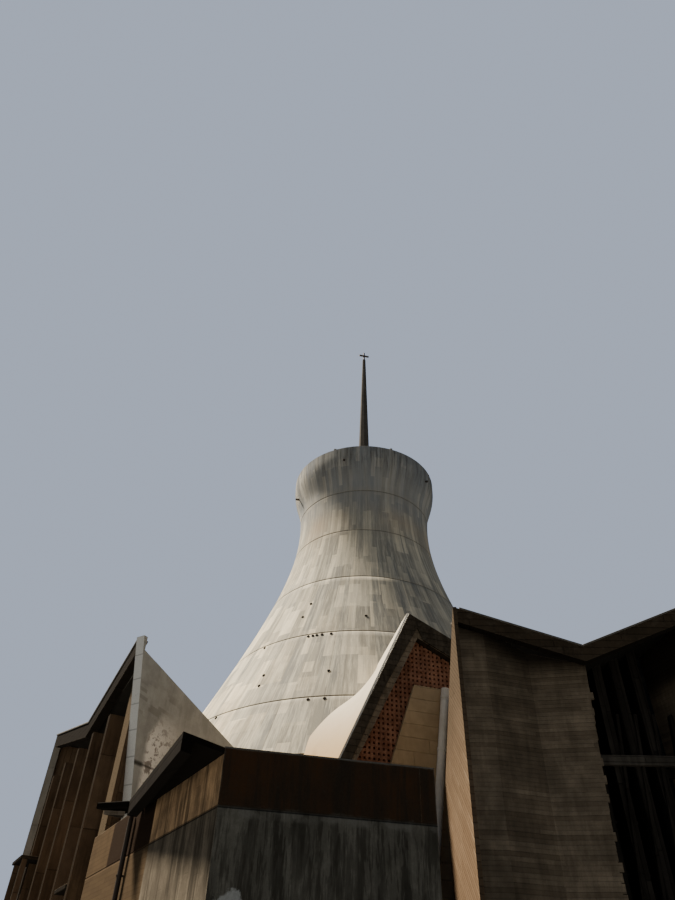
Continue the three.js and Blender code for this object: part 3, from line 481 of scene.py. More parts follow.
def grain_group():
    """The fine surface of cast concrete: sandy grain and small air holes."""
    tree, graph, given, out = new_group(
        "Concrete grain", {"Vector": None, "Grain Size": 0.05}, ("Tone", "Relief", "Holes")
    )
    scale = graph.over(1.0, given["Grain Size"])
    sand = graph.noise(given["Vector"], scale, 6.0, 0.7)
    holes = graph.node("ShaderNodeTexVoronoi")
    graph.feed(holes.inputs["Vector"], given["Vector"])
    graph.feed(holes.inputs["Scale"], graph.times(scale, 0.14))
    spots = graph.fade(holes.outputs["Distance"], 0.05, 0.12)
    graph.feed(out.inputs["Tone"], graph.smooth(sand, 0.3, 0.7))
    graph.feed(out.inputs["Holes"], spots)
    graph.feed(out.inputs["Relief"], graph.minus(sand, graph.times(spots, 0.8)))
    return tree


def edge_group():
    """Worn edges: where a rounded normal leaves the flat one, broken up by noise."""
    tree, graph, given, out = new_group("Edge wear", {"Vector": None, "Reach": 0.03}, ("Wear",))
    rounded = graph.node("ShaderNodeBevel", samples=4)
    graph.feed(rounded.inputs["Radius"], given["Reach"])
    flat = graph.node("ShaderNodeNewGeometry").outputs["Normal"]
    edge = graph.fade(graph.vector("DOT_PRODUCT", rounded.outputs[0], flat), 0.8, 0.99)
    broken = graph.smooth(graph.noise(given["Vector"], 2.5, 5.0, 0.7), 0.35, 0.6)
    graph.feed(out.inputs["Wear"], graph.times(edge, broken))
    return tree


BOARDS = board_marks_group()
STAINS = stains_group()
GRAIN = grain_group()
EDGES = edge_group()


class Finish:
    """A material being built: places in real metres, a colour that takes layers, and a relief for bump."""

    def __init__(self, name, colour, rough=0.85, metallic=0.0, shine=0.02):
        self.material = bpy.data.materials.new(name)
        self.material.use_nodes = True
        self.graph = Graph(self.material.node_tree)
        self.shader = self.material.node_tree.nodes["Principled BSDF"]
        place_of = self.graph.node("ShaderNodeTexCoord").outputs["Object"]
        self.spot = self.graph.vector("SCALE", place_of, 1 / SCALE)
        self.x, self.y, self.z = self.graph.split(self.spot)
        self.facing = self.graph.node("ShaderNodeNewGeometry").outputs["Normal"]
        self.colour = colour
        self.height = None
        self.shader.inputs["Roughness"].default_value = rough
        self.shader.inputs["Metallic"].default_value = metallic
        self.shader.inputs["Specular IOR Level"].default_value = shine

    def along(self, direction):
        """The distance along a direction, in real metres."""
        return self.graph.vector("DOT_PRODUCT", self.spot, direction)

    def along_line(self, line):
        """The distance along a plan line from its start, on the front half and on its mirror image."""
        folded = self.graph.combine(self.x, self.graph.times(self.graph.math("ABSOLUTE", self.y), -1.0), 0.0)
        run = self.graph.vector("DOT_PRODUCT", folded, (*line[1], 0.0))
        return self.graph.minus(run, float(np.dot(line[0], line[1])))

    def turned_to(self, direction, low=0.3, high=0.7):
        """A mask of the faces that look towards a direction."""
        return self.graph.smooth(self.graph.vector("DOT_PRODUCT", self.facing, direction), low, high)

    def turned_both(self, direction, low, high):
        """A mask of the faces that look towards a direction or its mirror image in the long axis."""
        mirror = (direction[0], -direction[1], direction[2])
        return self.graph.most(self.turned_to(direction, low, high), self.turned_to(mirror, low, high))

    def shaded_left_front(self):
        """A mask of the outer faces of the left screens, front and back, where shade is painted."""
        return self.turned_both(outward(left_line), 0.9, 0.97)

    def lay(self, mask, colour, amount=1.0):
        """Lays a colour on what is there, as far as a mask and an amount say."""
        share = self.graph.math("MULTIPLY", mask, amount, clamp=True)
        self.colour = self.graph.mix(share, self.colour, colour)

    def raise_by(self, value, amount):
        """Adds a relief to the height that the bump reads."""
        part = self.graph.times(value, amount)
        self.height = part if self.height is None else self.graph.plus(self.height, part)

    def boards(self, along, across, width=0.3, length=3.5, seam=0.025, dark=(0.1, 0.08, 0.06), light=None,
               tone=0.35, line=0.6, relief=1.0):
        """Board marks: darker and lighter boards with dark seams, in two directions given in real metres."""
        marks = self.graph.group(BOARDS, Along=along, Across=across, Width=width, Length=length, Seam=seam)
        self.lay(self.graph.smooth(marks["Tone"], 0.45, 1.0), dark, tone)
        if light:
            self.lay(self.graph.smooth(marks["Tone"], 0.3, 0.0), light, tone)
        self.lay(marks["Line"], dark, line)
        self.raise_by(marks["Tone"], 0.012 * relief)
        self.raise_by(marks["Line"], -0.02 * relief)

    def stain_marks(self, width, reach, size, vector=None):
        """The weather's streaks, patches and clouds, over this material's places unless others are given."""
        spot = vector or self.spot
        return self.graph.group(STAINS, Vector=spot, Streak_Width=width, Streak_Reach=reach, Patch_Size=size)

    def stains(self, colour, streaks=0.5, patches=0.3, clouds=0.2, width=0.4, reach=8.0, size=3.0, pale=None):
        """Rain streaks, patches and clouds of a stain colour, and paler patches where one is given."""
        marks = self.stain_marks(width=width, reach=reach, size=size)
        self.lay(marks["Patches"], colour, patches)
        if pale:
            self.lay(self.graph.rest(marks["Patches"]), pale, patches)
        self.lay(marks["Clouds"], colour, clouds)
        self.lay(marks["Streaks"], colour, streaks)
        return marks

    def grain(self, colour, amount=0.2, size=0.05, relief=0.004):
        marks = self.graph.group(GRAIN, Vector=self.spot, Grain_Size=size)
        self.lay(marks["Tone"], colour, amount)
        self.lay(marks["Holes"], colour, amount)
        self.raise_by(marks["Relief"], relief)

    def worn(self, colour, amount=0.5, reach=0.03):
        self.lay(self.graph.group(EDGES, Vector=self.spot, Reach=reach)["Wear"], colour, amount)

    def done(self, bump=1.0):
        self.graph.feed(self.shader.inputs["Base Color"], self.colour)
        if self.height is not None:
            relief = self.graph.node("ShaderNodeBump")
            relief.inputs["Strength"].default_value = bump
            relief.inputs["Distance"].default_value = SCALE
            self.graph.feed(relief.inputs["Height"], self.height)
            self.graph.feed(self.shader.inputs["Normal"], relief.outputs[0])
        return self.material


# Finishes. Colours are linear.

SOOT = (0.012, 0.010, 0.008)
LIFT_TOPS = (14.7, 19.4, 24.3, 28.9, 32.6)
UP = (0, 0, 1)
DOWN = (0, 0, -1)
LENGTHWAYS = (1, 0, 0)
MEAN_RADIUS = 8.0  # turns a bearing on the tower into metres round it
# Long grey runs below the neck, as (bearing in degrees, half their width in radians)
GREY_RUNS = ((-84.0, 0.035), (-71.5, 0.02), (-98.5, 0.022), (-113.0, 0.03), (-136.0, 0.02), (-61.0, 0.03))
# Upright cracks, as (bearing in degrees, foot, head)
CRACKS = (
    (-122.0, 14.7, 19.4), (-111.5, 11.4, 14.7), (-67.0, 11.4, 14.7),
    (-100.0, 14.7, 19.4), (-38.0, 14.7, 19.4), (-150.0, 19.4, 24.3),
)


def tower_finish():
    """Cream board-marked concrete: upright boards, casting joints, a grey crown, rain marks below it, and
    painted shade away from the sun.
    """
    paint = Finish("Tower concrete", (0.76, 0.63, 0.43), rough=0.88)
    graph = paint.graph
    bearing = graph.math("ARCTAN2", paint.y, paint.x)
    around = graph.times(bearing, MEAN_RADIUS)

    # Grey towards the crown, then painted shade: on the side away from the sun, on the street side, and on
    # the crown's sunlit side
    greying = graph.smooth(paint.z, 16.0, 29.0)
    paint.lay(greying, (0.25, 0.232, 0.192), 0.9)
    neck = graph.smooth(paint.z, 28.4, 30.5)
    paint.lay(neck, (0.22, 0.21, 0.18), 0.65)
    shaded = paint.turned_to((0.85, -0.45, 0.0), -0.3, 0.75)
    paint.lay(shaded, (0.235, 0.24, 0.235), 0.88)
    # Painted shade on the street side
    street_shade = paint.turned_to((0.2, -0.98, 0.0), 0.6, 0.9)
    paint.lay(street_shade, (0.17, 0.165, 0.15), 0.33)
    # Painted shade on the crown's sunlit side, where the flare would shade it
    crown_shade = graph.times(graph.smooth(paint.z, 28.6, 30.4), graph.rest(shaded))
    paint.lay(crown_shade, (0.06, 0.06, 0.058), 0.74)
    paint.stains((0.30, 0.285, 0.24), streaks=0.0, patches=0.4, clouds=0.3, size=2.2, pale=(0.88, 0.75, 0.53))

    # Upright boards of three widths, then grey and cream blocks below the neck
    dark, light = (0.27, 0.25, 0.205), (0.90, 0.79, 0.58)
    for width, length, tone in ((0.95, 3.1, 0.8), (0.42, 2.2, 0.75)):
        paint.boards(
            paint.z, around, width=width, length=length, seam=0.012, dark=dark, light=light, tone=tone,
            line=0.08, relief=0.25,
        )
    paint.boards(
        paint.z, around, width=0.14, length=1.5, seam=0.008, dark=(0.36, 0.34, 0.29), tone=0.2, line=0.08,
        relief=0.2,
    )
    raised = graph.plus(paint.z, 0.9)
    panels = graph.group(BOARDS, Along=raised, Across=around, Width=0.8, Length=2.0, Seam=0.01)
    below_neck = graph.smooth(paint.z, 27.5, 23.5, 0.1, 1.0)
    grey_panels = graph.times(graph.smooth(panels["Tone"], 0.6, 0.68), below_neck)
    cream_panels = graph.times(graph.smooth(panels["Tone"], 0.22, 0.14), below_neck)
    paint.lay(grey_panels, (0.29, 0.278, 0.245), 0.68)
    paint.lay(cream_panels, (0.95, 0.85, 0.65), 0.5)
    for sector, half in GREY_RUNS:
        off = graph.apart(bearing, math.radians(sector))
        run = graph.times(graph.smooth(off, half, 0.7 * half), below_neck)
        torn = graph.smooth(graph.noise(paint.spot, 0.5, 3.0, 0.6), 0.35, 0.6, 0.4, 1.0)
        paint.lay(graph.times(run, torn), (0.22, 0.22, 0.205), 0.8)
    # Painted cool shade on the side away from the sun, and a blue-grey crown: grey weathering with a painted
    # cool shade tint
    paint.lay(shaded, (0.13, 0.155, 0.19), 0.2)
    crown = graph.smooth(paint.z, 28.5, 33.0)
    paint.lay(crown, (0.20, 0.225, 0.26), 0.62)

    # Rain runs: dark ones above, pale ones below, drips under the rim and a warm patch at the neck
    unrolled = graph.combine(around, 0.0, paint.z)
    runs = paint.stain_marks(width=0.42, reach=12.0, size=5.0, vector=unrolled)
    high = graph.smooth(paint.z, 26.0, 36.0)
    low = graph.rest(high)
    paint.lay(graph.times(runs["Streaks"], high), (0.14, 0.13, 0.115), 0.45)
    paint.lay(graph.times(runs["Streaks"], low), (0.30, 0.275, 0.225), 0.5)
    thin = paint.stain_marks(width=0.12, reach=16.0, size=5.0, vector=unrolled)
    paint.lay(graph.times(thin["Streaks"], low), (0.92, 0.84, 0.66), 0.4)
    drips = graph.times(thin["Streaks"], graph.smooth(paint.z, 33.2, 35.6))
    paint.lay(drips, (0.042, 0.041, 0.038), 0.8)
    warm = graph.times(runs["Patches"], graph.smooth(paint.z, 27.0, 30.5))
    paint.lay(graph.times(warm, graph.smooth(paint.z, 31.8, 30.0)), (0.42, 0.31, 0.20), 0.45)

    # Casting joints between the lifts, and a few upright cracks
    for height in LIFT_TOPS:
        gap = graph.apart(paint.z, height)
        ragged = graph.plus(gap, graph.times(graph.noise(paint.spot, 5.0, 4.0, 0.7), 0.05))
        paint.lay(graph.fade(ragged, 0.035, 0.085), (0.085, 0.08, 0.07), 0.85)
        paint.lay(graph.fade(gap, 0.1, 0.7), (0.30, 0.27, 0.22), 0.22)
        paint.raise_by(graph.fade(gap, 0.02, 0.07), -0.03)
    for sector, foot, head in CRACKS:
        off = graph.apart(bearing, math.radians(sector))
        line = graph.fade(off, 0.0015, 0.004)
        span = graph.times(graph.smooth(paint.z, foot, foot + 0.05), graph.smooth(paint.z, head, head - 0.05))
        faint = graph.smooth(graph.noise(paint.spot, 1.1, 3.0, 0.6), 0.4, 0.6, 0.25, 0.75)
        paint.lay(graph.times(line, span, faint), (0.15, 0.14, 0.12), 0.8)
    paint.grain((0.32, 0.30, 0.26), amount=0.2, size=0.09, relief=0.006)
    paint.worn((0.66, 0.63, 0.55), amount=0.4, reach=0.02)
    return paint.done(bump=0.7)


def gable_side_finish():
    """Grey concrete on the wall under the left ridge: a few board marks up high, and a painted patch of
    dappled sunlight low down.
    """
    paint = Finish("Grey boarded concrete", (0.50, 0.50, 0.475), rough=0.88)
    graph = paint.graph
    along = paint.along_line(left_gable_line)
    paint.stains(
        (0.16, 0.155, 0.135), streaks=0.25, patches=0.35, clouds=0.25, width=0.5, reach=6.0, size=2.2,
        pale=(0.31, 0.30, 0.265),
    )

    # A band of slightly raked boards
    raked = graph.plus(paint.z, graph.times(along, 0.12))
    marks = graph.group(BOARDS, Along=along, Across=raked, Width=0.15, Length=0.7, Seam=0.04)
    chosen = graph.smooth(marks["Tone"], 0.5, 0.65)
    band = graph.times(graph.smooth(paint.z, 11.4, 11.9), graph.smooth(paint.z, 13.2, 12.6))
    band = graph.times(band, graph.smooth(along, 3.2, 2.2))
    paint.lay(graph.times(chosen, band), (0.19, 0.18, 0.155), 0.45)

    # A painted patch of sunlight, which ends at a slanting edge, with painted leaf shadows in it
    spot = graph.combine(along, 0.0, paint.z)
    over = graph.most(graph.minus(paint.z, 11.0), 0.0)
    edge = graph.minus(along, graph.times(over, 0.62))
    swept = graph.plus(edge, graph.times(graph.noise(spot, 2.2, 4.0, 0.6), 0.3))
    painted_sunlight = graph.times(graph.smooth(swept, 1.45, 1.75), graph.smooth(along, 4.2, 1.8, 0.12, 1.0))
    painted_sunlight = graph.times(painted_sunlight, graph.smooth(paint.z, 12.6, 10.6))
    paint.lay(painted_sunlight, (0.97, 0.93, 0.86), 0.97)
    leaf_shadow = graph.smooth(graph.noise(spot, 2.6, 5.0, 0.7), 0.5, 0.57)
    leaf_shadow = graph.times(leaf_shadow, graph.smooth(along, 3.4, 2.6))
    paint.lay(graph.times(painted_sunlight, leaf_shadow), (0.16, 0.125, 0.10), 0.8)

    # A sooty joint, and the pale end face with its level joints a metre apart
    joint = graph.apart(paint.z, 9.8)
    paint.lay(graph.fade(joint, 0.02, 0.06), SOOT, 0.6)
    patch = graph.times(graph.smooth(along, 0.5, 0.8), graph.smooth(along, 1.6, 1.3))
    paint.lay(graph.times(patch, graph.fade(joint, 0.05, 0.13)), SOOT, 0.7)
    end_face = paint.turned_both((-left_gable_line[1][0], -left_gable_line[1][1], 0.0), 0.7, 0.9)
    paint.lay(end_face, (0.80, 0.77, 0.72), 0.92)
    metre = graph.math("FRACT", paint.z)
    lines = graph.fade(graph.math("MINIMUM", metre, graph.rest(metre)), 0.0, 0.04)
    paint.lay(graph.times(lines, end_face), (0.2, 0.19, 0.17), 0.6)
    paint.grain((0.2, 0.19, 0.16), amount=0.2)
    paint.worn((0.5, 0.48, 0.43), amount=0.5)
    return paint.done()


def white_roof_finish():
    """The middle gable's roof: pale, smooth concrete with rusty marks at its foot, and painted shade on the
    faces that look down.
    """
    paint = Finish("Pale smooth concrete", (0.60, 0.53, 0.42), rough=0.75)
    graph = paint.graph
    paint.stains((0.50, 0.42, 0.31), streaks=0.25, patches=0.3, clouds=0.15, width=0.7, reach=5.0, size=2.0)
    low = graph.smooth(paint.z, 14.5, 10.0)
    rusty = graph.smooth(graph.noise(paint.spot, 1.3, 5.0, 0.65), 0.55, 0.66)
    paint.lay(low, (0.45, 0.28, 0.115), 0.88)
    foot = graph.smooth(paint.z, 12.0, 9.5)
    paint.lay(graph.times(foot, rusty), (0.13, 0.055, 0.022), 0.85)
    rim = paint.turned_to((math.sin(GABLE_BEARING), -math.cos(GABLE_BEARING), 0.0), 0.6, 0.9)
    paint.lay(rim, (0.86, 0.84, 0.80), 0.8)
    # Painted shade on the faces that look down
    paint.lay(paint.turned_to(DOWN), SOOT, 0.7)
    paint.grain((0.5, 0.46, 0.38), amount=0.12)
    return paint.done(bump=0.6)


def boarded_finish(name, colour, dark, light, along, across, width=0.22, length=2.6, streaks=0.35, stain=SOOT,
                   tone=0.45, line=0.55, patches=0.3, worn=0.45, front_shade=None, head=None):
    """Board-marked concrete whose boards run along one direction and are stacked across another.

    Front shade is a colour of painted shade for the left screens' outer faces, which the sun lights. Head is
    a colour and the heights between which it comes in.
    """
    paint = Finish(name, colour, rough=0.88)
    paint.boards(
        paint.along(along), paint.along(across), width=width, length=length, seam=0.02, dark=dark,
        light=light, tone=tone, line=line,
    )
    paint.stains(stain, streaks=streaks, patches=patches, clouds=0.18, width=0.35, reach=7.0, size=2.4)
    paint.grain(dark, amount=0.2)
    paint.worn(light, amount=worn)
    if head:
        paint.lay(paint.graph.smooth(paint.z, *head[1:]), head[0], 0.8)
    if front_shade:
        # Painted shade on the left screens' outer faces, with a lighter painted shade on the buttress's front
        buttress = paint.graph.smooth(paint.along_line(left_line), BUTTRESS_START - 0.7, BUTTRESS_START - 0.6)
        front = paint.shaded_left_front()
        paint.lay(front, front_shade, 0.97)
        paint.lay(paint.graph.times(front, buttress), (0.085, 0.062, 0.038), 0.9)
    return paint.done()


ANNEX_JOINT = 5.62


def annex_finish():
    """The annex walls: a brown lift over a greyer one, darker towards the street, coursed by the hall, with
    painted light on the side's upper lift and a painted shadow by the hall.
    """
    paint = Finish("Annex concrete", (0.165, 0.13, 0.095), rough=0.9)
    graph = paint.graph
    left_face = paint.turned_both(outward(annex_left_line), 0.85, 0.95)
    front_face = paint.turned_both(outward(annex_front_line), 0.85, 0.95)
    upper = graph.smooth(paint.z, ANNEX_JOINT - 0.04, ANNEX_JOINT + 0.04)
    lower_front = graph.times(front_face, graph.rest(upper))
    paint.lay(graph.times(left_face, graph.rest(upper)), (0.175, 0.145, 0.108), 1.0)
    # Painted light on the side's upper lift, which lifts it out of the canopy's shadow
    paint.lay(graph.times(left_face, upper), (0.62, 0.395, 0.215), 0.95)
    paint.lay(graph.times(front_face, upper), (0.050, 0.022, 0.009), 0.97)
    paint.lay(lower_front, (0.135, 0.124, 0.10), 0.95)
    away = graph.math("ABSOLUTE", paint.y)
    around = graph.plus(graph.times(paint.x, 0.6), graph.times(away, -0.8))
    paint.boards(
        paint.z, around, width=0.13, length=1.9, seam=0.014, dark=(0.03, 0.022, 0.015), tone=0.25, line=0.03,
        relief=0.1,
    )
    paint.stains(
        (0.02, 0.017, 0.013), streaks=0.7, patches=0.35, clouds=0.3, width=0.22, reach=10.0, size=2.0,
    )
    for width, tone in ((0.3, 0.55), (0.11, 0.5)):
        runs = paint.stain_marks(width=width, reach=9.0, size=1.2)
        paint.lay(graph.times(lower_front, runs["Streaks"]), (0.028, 0.026, 0.021), tone)
        pale_runs = graph.smooth(runs["Streaks"], 0.3, 0.0)
        paint.lay(graph.times(lower_front, pale_runs), (0.27, 0.255, 0.215), 0.22)
        paint.lay(graph.times(lower_front, runs["Clouds"]), (0.06, 0.056, 0.046), 0.35)

    # A scraped patch low on the street front, and salt along the joint between the lifts
    patch_along, patch_height = 0.5, 3.75
    aside = graph.times(graph.minus(paint.along_line(annex_front_line), patch_along), 0.7)
    from_patch = graph.combine(aside, 0.0, graph.minus(paint.z, patch_height))
    offset = graph.math("SQRT", graph.vector("DOT_PRODUCT", from_patch, from_patch), 0.0)
    scraped = graph.plus(offset, graph.times(graph.noise(paint.spot, 3.5, 5.0, 0.7), 0.5))
    paint.lay(graph.times(graph.smooth(scraped, 0.5, 0.42), front_face), (0.45, 0.45, 0.43), 0.7)
    joint = graph.minus(ANNEX_JOINT, paint.z)
    ragged = graph.plus(joint, graph.times(graph.noise(paint.spot, 3.0, 5.0, 0.7), -0.25))
    salt = graph.times(graph.smooth(ragged, -0.2, -0.06), graph.smooth(ragged, 0.12, -0.02))
    broken = graph.smooth(graph.noise(paint.spot, 1.4, 4.0, 0.6), 0.42, 0.6)
    paint.lay(graph.times(salt, broken, front_face), (0.16, 0.15, 0.13), 0.75)
    gap = graph.math("ABSOLUTE", joint)
    paint.lay(graph.fade(gap, 0.015, 0.05), SOOT, 0.6)
    paint.raise_by(graph.fade(gap, 0.01, 0.04), -0.03)

    # Coursed stretch by the hall, with the hood's and canopy's shadow painted dark on its upper lift
    from_hall = paint.along_line(annex_left_line)
    coursed = graph.times(graph.smooth(from_hall, 7.35, 7.25), left_face)
    paint.lay(coursed, (0.058, 0.038, 0.020), 0.95)
    courses = graph.group(BOARDS, Along=from_hall, Across=paint.z, Width=0.14, Length=1.1, Seam=0.02)
    paint.lay(graph.times(courses["Line"], coursed), (0.03, 0.016, 0.008), 0.5)
    paint.lay(graph.times(courses["Tone"], coursed), (0.088, 0.058, 0.031), 0.4)
    # Painted shadow of the hood and canopy
    painted_canopy_shadow = graph.times(upper, graph.smooth(from_hall, 2.8, 2.95))
    paint.lay(graph.times(painted_canopy_shadow, coursed), (0.014, 0.0065, 0.003), 0.95)
    paint.grain((0.05, 0.04, 0.03), amount=0.22)
    paint.worn((0.30, 0.25, 0.19), amount=0.45)
    return paint.done()


def dark_finish(name, colour, light, streak=0.5, pale_side=None, front_shade=None):
    """Dark weathered concrete on fascias, canopy and gable frame, with a pale side where one is given,
    painted shade on the faces that look down, and painted shade on the left screens' outer faces where a
    colour for it is given.
    """
    paint = Finish(name, colour, rough=0.88)
    graph = paint.graph
    around = graph.plus(graph.times(paint.x, 0.7), graph.times(paint.y, 0.7))
    paint.boards(
        around, paint.z, width=0.28, length=3.2, seam=0.02, dark=SOOT, light=light, tone=0.2, line=0.35,
    )
    marks = paint.stains(SOOT, streaks=streak, patches=0.3, clouds=0.3, width=0.3, reach=5.0, size=1.6)
    paint.lay(graph.smooth(marks["Clouds"], 0.55, 0.9), light, 0.25)
    paint.grain(SOOT, amount=0.25)
    if pale_side:
        paint.lay(paint.turned_both(pale_side, 0.8, 0.95), (0.84, 0.81, 0.74), 0.95)
    # Painted shade on the left screens' outer faces
    if front_shade:
        paint.lay(paint.shaded_left_front(), front_shade, 0.95)
    # Painted shade on the faces that look down
    paint.lay(paint.turned_to(DOWN, 0.5, 0.9), SOOT, 0.85)
    paint.worn(light, amount=0.35, reach=0.03)
    return paint.done()


def felt_finish():
    """Roof covering: grey sheets with lapped joints, lichen, dark run-off and painted shade on the faces that
    look down.
    """
    paint = Finish("Roof covering", (0.20, 0.19, 0.165), rough=0.92)
    paint.boards(
        paint.x, paint.y, width=1.0, length=5.0, seam=0.03, dark=(0.06, 0.055, 0.05),
        light=(0.27, 0.26, 0.23), tone=0.35, line=0.6, relief=0.6,
    )
    paint.stains(
        (0.10, 0.09, 0.07), streaks=0.2, patches=0.4, clouds=0.3, width=0.8, reach=2.0, size=2.2,
        pale=(0.27, 0.25, 0.21),
    )
    lichen = paint.graph.smooth(paint.graph.noise(paint.spot, 1.8, 6.0, 0.7), 0.6, 0.7)
    paint.lay(lichen, (0.24, 0.22, 0.12), 0.4)
    paint.grain((0.1, 0.09, 0.08), amount=0.3, size=0.04, relief=0.006)
    # Painted shade on the faces that look down
    paint.lay(paint.turned_to(DOWN), SOOT, 0.92)
    return paint.done()


def spire_finish():
    paint = Finish("Spire concrete", (0.10, 0.088, 0.076), rough=0.8)
    paint.stains((0.04, 0.035, 0.03), streaks=0.45, patches=0.3, clouds=0.2, width=0.25, reach=9.0, size=2.0)
    paint.grain((0.05, 0.045, 0.04), amount=0.25)
    paint.worn((0.30, 0.27, 0.22), amount=0.5, reach=0.02)
    return paint.done()


def tile_finish():
    """Matt fired clay, mottled in tone, with sooty stains."""
    paint = Finish("Fired clay", (0.40, 0.195, 0.122), rough=0.85)
    graph = paint.graph
    tone = graph.noise(paint.spot, 2.6, 2.0, 0.5)
    paint.lay(graph.smooth(tone, 0.4, 0.65), (0.235, 0.095, 0.054), 0.7)
    paint.lay(graph.smooth(tone, 0.45, 0.25), (0.54, 0.27, 0.16), 0.6)
    paint.stains(SOOT, streaks=0.3, patches=0.25, clouds=0.2, width=0.3, reach=6.0, size=1.5)
    paint.grain((0.12, 0.04, 0.02), amount=0.3, size=0.03)
    paint.worn((0.42, 0.19, 0.10), amount=0.5, reach=0.012)
    return paint.done()


def glass_finish():
    """Dark window glass: a near-black pane that mirrors the light, with patches of dust."""
    paint = Finish("Window glass", (0.012, 0.014, 0.016), rough=0.12)
    paint.shader.inputs["IOR"].default_value = 1.5
    dust = paint.graph.noise(paint.spot, 1.2, 5.0, 0.65)
    paint.lay(paint.graph.smooth(dust, 0.45, 0.75), (0.05, 0.045, 0.038), 0.5)
    rough = paint.graph.smooth(dust, 0.35, 0.75, 0.08, 0.32)
    paint.graph.feed(paint.shader.inputs["Roughness"], rough)
    return paint.done()


def metal_finish(name, colour, rust, rough=0.5, metallic=0.6):
    """Painted or bare metal with dull patches, and rust along its edges."""
    paint = Finish(name, colour, rough=rough, metallic=metallic)
    paint.stains(rust, streaks=0.25, patches=0.25, clouds=0.15, width=0.15, reach=9.0, size=0.8)
    paint.grain(rust, amount=0.1, size=0.02, relief=0.001)
    paint.worn(rust, amount=0.5, reach=0.01)
    return paint.done(bump=0.5)


def floor_finish():
    """The floor: square slabs with stains and grain."""
    paint = Finish("Floor slabs", (0.20, 0.18, 0.155), rough=0.7)
    paint.boards(
        paint.x, paint.y, width=0.9, length=0.9, seam=0.02, dark=(0.06, 0.055, 0.05), light=(0.26, 0.24, 0.2),
        tone=0.4, line=0.7, relief=0.5,
    )
    paint.stains((0.1, 0.09, 0.075), streaks=0.1, patches=0.3, clouds=0.2)
    paint.grain((0.1, 0.09, 0.08), amount=0.2)
    return paint.done()


def fold_finish():
    """The folded wall: level boards, painted shade that makes the first face darker than the second, and
    painted shadow with soot under the fascia.
    """
    paint = Finish("Brown level boards", (0.34, 0.262, 0.18), rough=0.88)
    graph = paint.graph
    first_face = outward(plan_line(WEDGE_PEAK, FOLD_ONE))
    # Painted shade on the first face
    paint.lay(paint.turned_both(first_face, 0.95, 0.99), (0.205, 0.155, 0.105), 0.85)
    dark, light = (0.15, 0.108, 0.07), (0.39, 0.305, 0.21)
    paint.boards(
        paint.x, paint.z, width=0.145, length=8.5, seam=0.018, dark=dark, light=light, tone=0.42, line=0.07,
        relief=0.55,
    )
    paint.stains(SOOT, streaks=0.25, patches=0.35, clouds=0.25, width=0.35, reach=7.0, size=2.4)
    # Painted shadow and soot under the fascia, reaching lower on the first face
    shade_drop = graph.times(graph.most(graph.minus(FOLD_ONE[0] + 0.03, paint.x), 0.0), 0.5)
    above = graph.minus(graph.minus(paint.z, 12.8), shade_drop)
    paint.lay(graph.smooth(above, -0.7, 0.3), SOOT, 0.93)
    # Darker towards the top
    paint.lay(graph.smooth(paint.z, 8.0, 13.5), SOOT, 0.35)
    paint.grain((0.06, 0.045, 0.03), amount=0.2)
    paint.worn((0.22, 0.175, 0.125), amount=0.35)
    return paint.done()


left_run = (*left_line[1], 0.0)
TOWER = tower_finish()
GREY_BOARDS = gable_side_finish()
WHITE_ROOF = white_roof_finish()
ANNEX = annex_finish()
FELT = felt_finish()
SPIRE = spire_finish()
CLAY = tile_finish()
GLASS = glass_finish()
FLOOR_SLABS = floor_finish()
STEEL = metal_finish("Dark steel", (0.06, 0.055, 0.05), (0.09, 0.045, 0.02))
CROSS_STEEL = metal_finish("Cross steel", (0.13, 0.12, 0.11), (0.10, 0.05, 0.02), rough=0.45, metallic=0.8)
# Near-black, as painted shade inside the tie holes
HOLE_SHADE = metal_finish("Painted hole shade", (0.008, 0.007, 0.006), (0.012, 0.009, 0.007), rough=0.9, metallic=0.0)
BACKING = metal_finish(
    "Dark clay backing", (0.060, 0.028, 0.017), (0.012, 0.008, 0.006), rough=0.9, metallic=0.0,
)
PIPE_PAINT = metal_finish("Grey pipe paint", (0.82, 0.76, 0.68), (0.44, 0.37, 0.29), rough=0.6, metallic=0.0)
COPING = metal_finish("Zinc coping", (0.17, 0.155, 0.135), (0.06, 0.045, 0.03), rough=0.55, metallic=0.4)
# The fascia's last colour is painted shade on the left fascia's outer face
FASCIA = dark_finish(
    "Fascia concrete", (0.066, 0.047, 0.030), (0.15, 0.115, 0.08), streak=0.35, front_shade=(0.0075, 0.0055, 0.004),
)
CANOPY = dark_finish("Canopy concrete", (0.0055, 0.004, 0.003), (0.016, 0.012, 0.008), streak=0.3)
LEG_NORMAL = (-0.85, -0.309, 0.427)  # square to the middle gable's left leg, outwards
FRAME_DARK = dark_finish(
    "Gable skin concrete", (0.092, 0.074, 0.054), (0.17, 0.14, 0.11), streak=0.5, pale_side=LEG_NORMAL,
)
FRAME_LIGHT = dark_finish(
    "Gable frame concrete", (0.30, 0.235, 0.165), (0.42, 0.34, 0.26), streak=0.3, pale_side=LEG_NORMAL,
)
